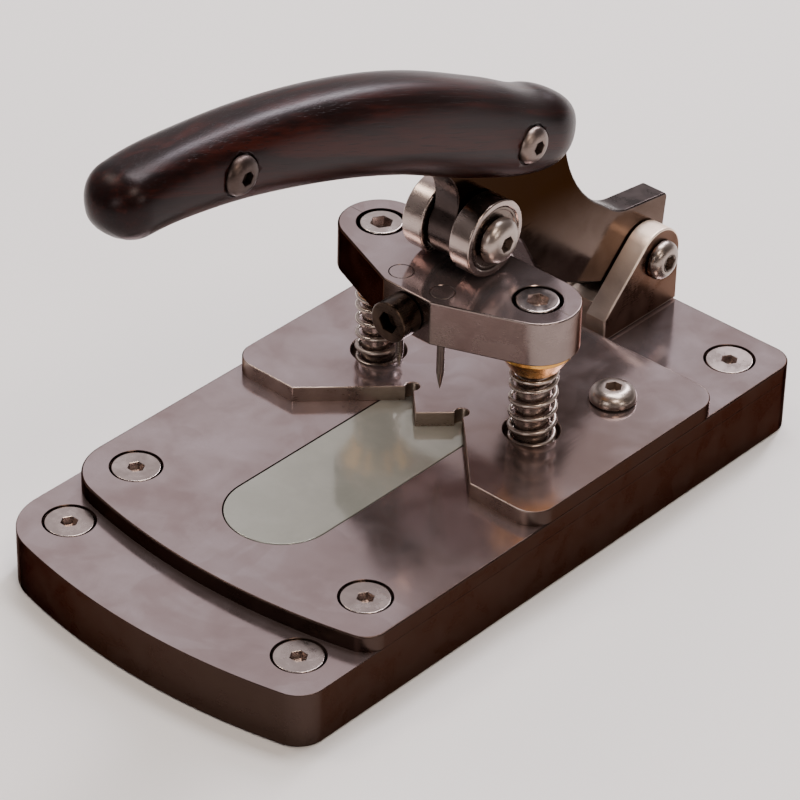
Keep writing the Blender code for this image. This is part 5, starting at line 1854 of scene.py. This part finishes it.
    def build_nut(self, end: str) -> None:
        """Sleeve nut: a low round head with a slight crown, and its sleeve.

        Args:
            end: Which end of the grip.
        """
        node = f"handle_nut_{end}"
        box, radius, head, sleeve = Box.of(node), self.screw_head, self.nut_head, self.nut_sleeve
        crown = arc((0.0, 0.0), 1.0, math.pi / 2, self.nut_crown_end)
        across = radius * crown[:, 0] / crown[-1, 0] * self.nut_crown_share
        top = np.stack([across, head - self.nut_crown * (1 - crown[:, 1])], axis=1)
        shoulder = (radius, head * self.nut_rim_share, self.nut_crown)
        rim = rounded([tuple(top[-1]), shoulder, (radius, 0.0), (sleeve, 0.0)], False)
        profile = np.vstack([top, rim[1:], [(sleeve, -self.nut_length), (0.0, -self.nut_length)]])
        shell = lathed(profile).placed(Axis.LEFT, (box.low.x + head, box.centre.y, box.centre.z))
        fit_piece(shell, f"sleeve_nut_{end}", "lever", [GRIP_SCREW], node)


# Rollers


@dataclass(frozen=True)
class NoseRoller:
    """Ball bearing beside the lever's nose, held by a button screw."""

    side: Side
    rim: float = 0.0004
    wall: float = 0.0014
    mouth: float = 0.00025
    sink: float = 0.0002
    hub: float = 0.0040
    hub_edge: float = 0.0002
    bore: float = 0.0028
    shield: float = 0.0004
    shield_share: float = 0.6
    shield_gap: float = 0.0001
    shield_fit: float = 0.00015
    shield_rim: float = 0.0006
    shield_hole: float = 0.0003
    shield_edge: float = 0.0001
    dish: float = 0.00016
    sides: int = 108

    def build(self) -> None:
        """Make the rings, the shields and the screw."""
        label = self.side.label
        body, outer = f"roller_{label}", Box.of(f"bearing_outer_{label}")
        low, high = sorted((abs(outer.low.x), abs(outer.high.x)))
        radius = outer.size.z / 2
        inner, mouth, edge = radius - self.wall, self.mouth, self.hub_edge
        lip = self.sink + self.shield + self.shield_gap
        corners = [
            (inner + mouth, low),
            (radius, low, self.rim),
            (radius, high, self.rim),
            (inner + mouth, high),
            (inner, high - mouth),
            (inner, high - lip),
            (inner, low + lip),
            (inner, low + mouth),
        ]
        self.fit(rounded(corners), f"outer_ring_{label}", body, GROUND, f"bearing_outer_{label}")
        ring = [
            (self.bore, low - edge),
            (self.hub, low, edge),
            (self.hub, high, edge),
            (self.bore, high, edge),
        ]
        self.fit(rounded(ring), f"inner_ring_{label}", "lever", GROUND, f"bearing_inner_{label}")
        for name, sense, face in (("inner", -1, low + self.sink), ("outer", 1, high - self.sink)):
            profile, node = self.shield_profile(face, sense, inner), f"bearing_shield_{name}_{label}"
            self.fit(profile, f"shield_{name}_{label}", body, SHIELD, node)
        fit_screw(Screw(Head.BUTTON), f"roller_screw_{label}", "lever", self.side.outward)

    def fit(self, profile: Array, name: str, body: str, finish: PlainSteel, node: str) -> None:
        """Turn a closed profile into a ring of the bearing.

        Args:
            profile: (radius, distance from the middle of the press) rows.
            name: Name of the piece.
            body: CAD body that it moves with.
            finish: Its finish.
            node: CAD node that it stands for.
        """
        centre = Box.of(f"bearing_outer_{self.side.label}").centre
        shell = lathed(profile, self.sides, ring=True).placed(self.side.outward, (0.0, centre.y, centre.z))
        fit_piece(shell, name, body, [finish], node)

    def shield_profile(self, face: float, sense: int, inner: float) -> Array:
        """Pressed shield: a raised rim, a step and a dished middle, of one thickness.

        Args:
            face: Distance of its outer face from the middle of the press.
            sense: 1 where it faces outwards and -1 where it faces the lever.
            inner: Inner radius of the outer ring.

        Returns:
            (radius, distance) rows.
        """
        out, step, hole = inner - self.shield_fit, inner - self.shield_rim, self.hub + self.shield_hole
        low, edge = face - sense * self.dish, self.shield_edge
        front = [(out, face), (step, face, edge), (step - self.dish, low, edge), (hole, low)]
        thick = sense * self.shield * self.shield_share
        back = [(radius, height - thick) for radius, height, *_ in reversed(front)]
        return rounded([*front, *back])


# Nodes that stay as they are


def dress_kept_nodes() -> None:
    """Give every CAD node that still shows the finish of its real surface."""
    kept = {"hub_bush": BRASS, "bearing_balls_left": GROUND, "bearing_balls_right": GROUND}
    for name, finish in kept.items():
        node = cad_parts[name]
        for slot in node.material_slots:
            slot.material = RACK.material(finish)
        LOG.info("%s: kept, %s", name, finish.name)


# Studio


@dataclass(frozen=True)
class SoftBox:
    """Soft light: its place, the width and height of its face, its power and its colour."""

    name: str
    place: Point
    size: Pair
    power: float
    colour: Colour

    def build(self) -> None:
        """Make the light, aimed at the press."""
        data = bpy.data.lights.new(self.name, "AREA")
        data.shape = "RECTANGLE"
        data.size, data.size_y = self.size
        data.energy = self.power
        data.color = self.colour
        light = bpy.data.objects.new(self.name, data)
        light.location = self.place
        light.rotation_euler = (-Vector(self.place)).to_track_quat("-Z", "Y").to_euler()
        bpy.context.scene.collection.objects.link(light)


SOFT_BOXES = (
    SoftBox("top_box", (-0.12, 0.42, 1.42), (0.84, 0.42), 17.0, (1.0, 0.95, 0.95)),
    SoftBox("back_box", (-0.27, 0.97, 0.90), (0.18, 0.84), 11.5, (0.98, 0.93, 1.0)),
    SoftBox("right_box", (1.20, -0.10, 0.55), (0.30, 0.30), 2.2, (1.0, 0.88, 0.78)),
    SoftBox("front_box", (0.20, -1.20, 0.55), (0.45, 0.45), 2.4, (1.0, 0.93, 0.88)),
    SoftBox("left_box", (-0.72, -0.30, 1.12), (0.30, 0.30), 3.6, (1.0, 0.86, 0.74)),
    SoftBox("key_box", (0.68, -0.32, 1.12), (0.30, 0.30), 5.0, (1.0, 0.84, 0.70)),
)


@dataclass(frozen=True)
class Studio:
    """Pale floor, soft lights and the camera at the photograph's angle."""

    azimuth: float = math.radians(41.22)
    elevation: float = math.radians(34.63)
    roll: float = math.radians(1.448)
    camera_place: Point = (0.41817, -0.47785, 0.46237)
    nearest: float = 0.05
    farthest: float = 20.0
    focal_pixels: float = 3971.5
    image_pixels: float = 800.0
    sensor: float = 36.0
    floor_half: float = 3.0
    floor_colour: Colour = (0.86, 0.85, 0.84)
    floor_roughness: float = 0.7
    floor_drop: float = 0.0002
    pale_side: Point = (-0.72, 0.40, 0.56)
    stops: Point = (0.05, 0.80, 1.0)
    pale: Colour = (0.92, 0.84, 0.86)
    middling: Colour = (0.44, 0.40, 0.40)
    dim: Colour = (0.16, 0.138, 0.128)

    def build(self) -> None:
        """Make the camera, the floor, the lights and the surroundings."""
        self.build_camera()
        self.build_floor()
        self.build_lights()
        self.build_surroundings()

    def build_camera(self) -> None:
        """Camera whose axes come from its azimuth, elevation and roll."""
        sin_a, cos_a = math.sin(self.azimuth), math.cos(self.azimuth)
        sin_e, cos_e = math.sin(self.elevation), math.cos(self.elevation)
        back = Vector((sin_a * cos_e, -cos_a * cos_e, sin_e))
        level = Vector((cos_a, sin_a, 0.0))
        upright = back.cross(level)
        right = math.cos(self.roll) * level + math.sin(self.roll) * upright
        upward = math.cos(self.roll) * upright - math.sin(self.roll) * level
        data = bpy.data.cameras.new("photo_camera")
        data.sensor_width = self.sensor
        data.lens = self.sensor * self.focal_pixels / self.image_pixels
        data.clip_start, data.clip_end = self.nearest, self.farthest
        camera = bpy.data.objects.new("photo_camera", data)
        turn = Matrix((right, upward, back)).transposed().to_4x4()
        camera.matrix_world = Matrix.Translation(self.camera_place) @ turn
        bpy.context.scene.collection.objects.link(camera)
        bpy.context.scene.camera = camera

    def build_floor(self) -> None:
        """Wide pale floor just under the base."""
        mesh = bpy.data.meshes.new("studio_floor")
        half, low = self.floor_half, -self.floor_drop
        corners = [(-half, -half, low), (half, -half, low), (half, half, low), (-half, half, low)]
        mesh.from_pydata(corners, [], [(0, 1, 2, 3)])
        graph = Graph("pale_floor")
        graph.dress(self.floor_colour, self.floor_roughness)
        mesh.materials.append(graph.material)
        floor = bpy.data.objects.new("studio_floor", mesh)
        bpy.context.scene.collection.objects.link(floor)

    def build_lights(self) -> None:
        """Soft boxes round the press."""
        for box in SOFT_BOXES:
            box.build()

    def build_surroundings(self) -> None:
        """Room that is palest behind the press on the left, and dim towards the other side."""
        world = bpy.data.worlds.new("soft_room")
        world.use_nodes = True
        tree = world.node_tree
        place = tree.nodes.new("ShaderNodeTexCoord")
        facing = tree.nodes.new("ShaderNodeVectorMath")
        facing.operation = "DOT_PRODUCT"
        facing.inputs[1].default_value = self.pale_side
        shade = tree.nodes.new("ShaderNodeValToRGB")
        stops = shade.color_ramp.elements
        stops.new(0.5)
        for stop, position, colour in zip(stops, self.stops, (self.dim, self.middling, self.pale)):
            stop.position, stop.color = position, (*colour, 1.0)
        background = tree.nodes["Background"]
        tree.links.new(place.outputs["Generated"], facing.inputs[0])
        tree.links.new(facing.outputs["Value"], shade.inputs["Fac"])
        tree.links.new(shade.outputs["Color"], background.inputs["Color"])
        bpy.context.scene.world = world


def main() -> None:
    """Build the press and its studio."""
    logging.basicConfig(level=logging.INFO, format="%(name)s %(message)s")
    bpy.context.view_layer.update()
    for assembly in (Plates(), GuidePosts(), PunchHolder(), PivotBracket(), PressLever(), WoodGrip()):
        assembly.build()
    for side in Side:
        NoseRoller(side).build()
    dress_kept_nodes()
    Studio().build()


if __name__ == "__main__":
    main()
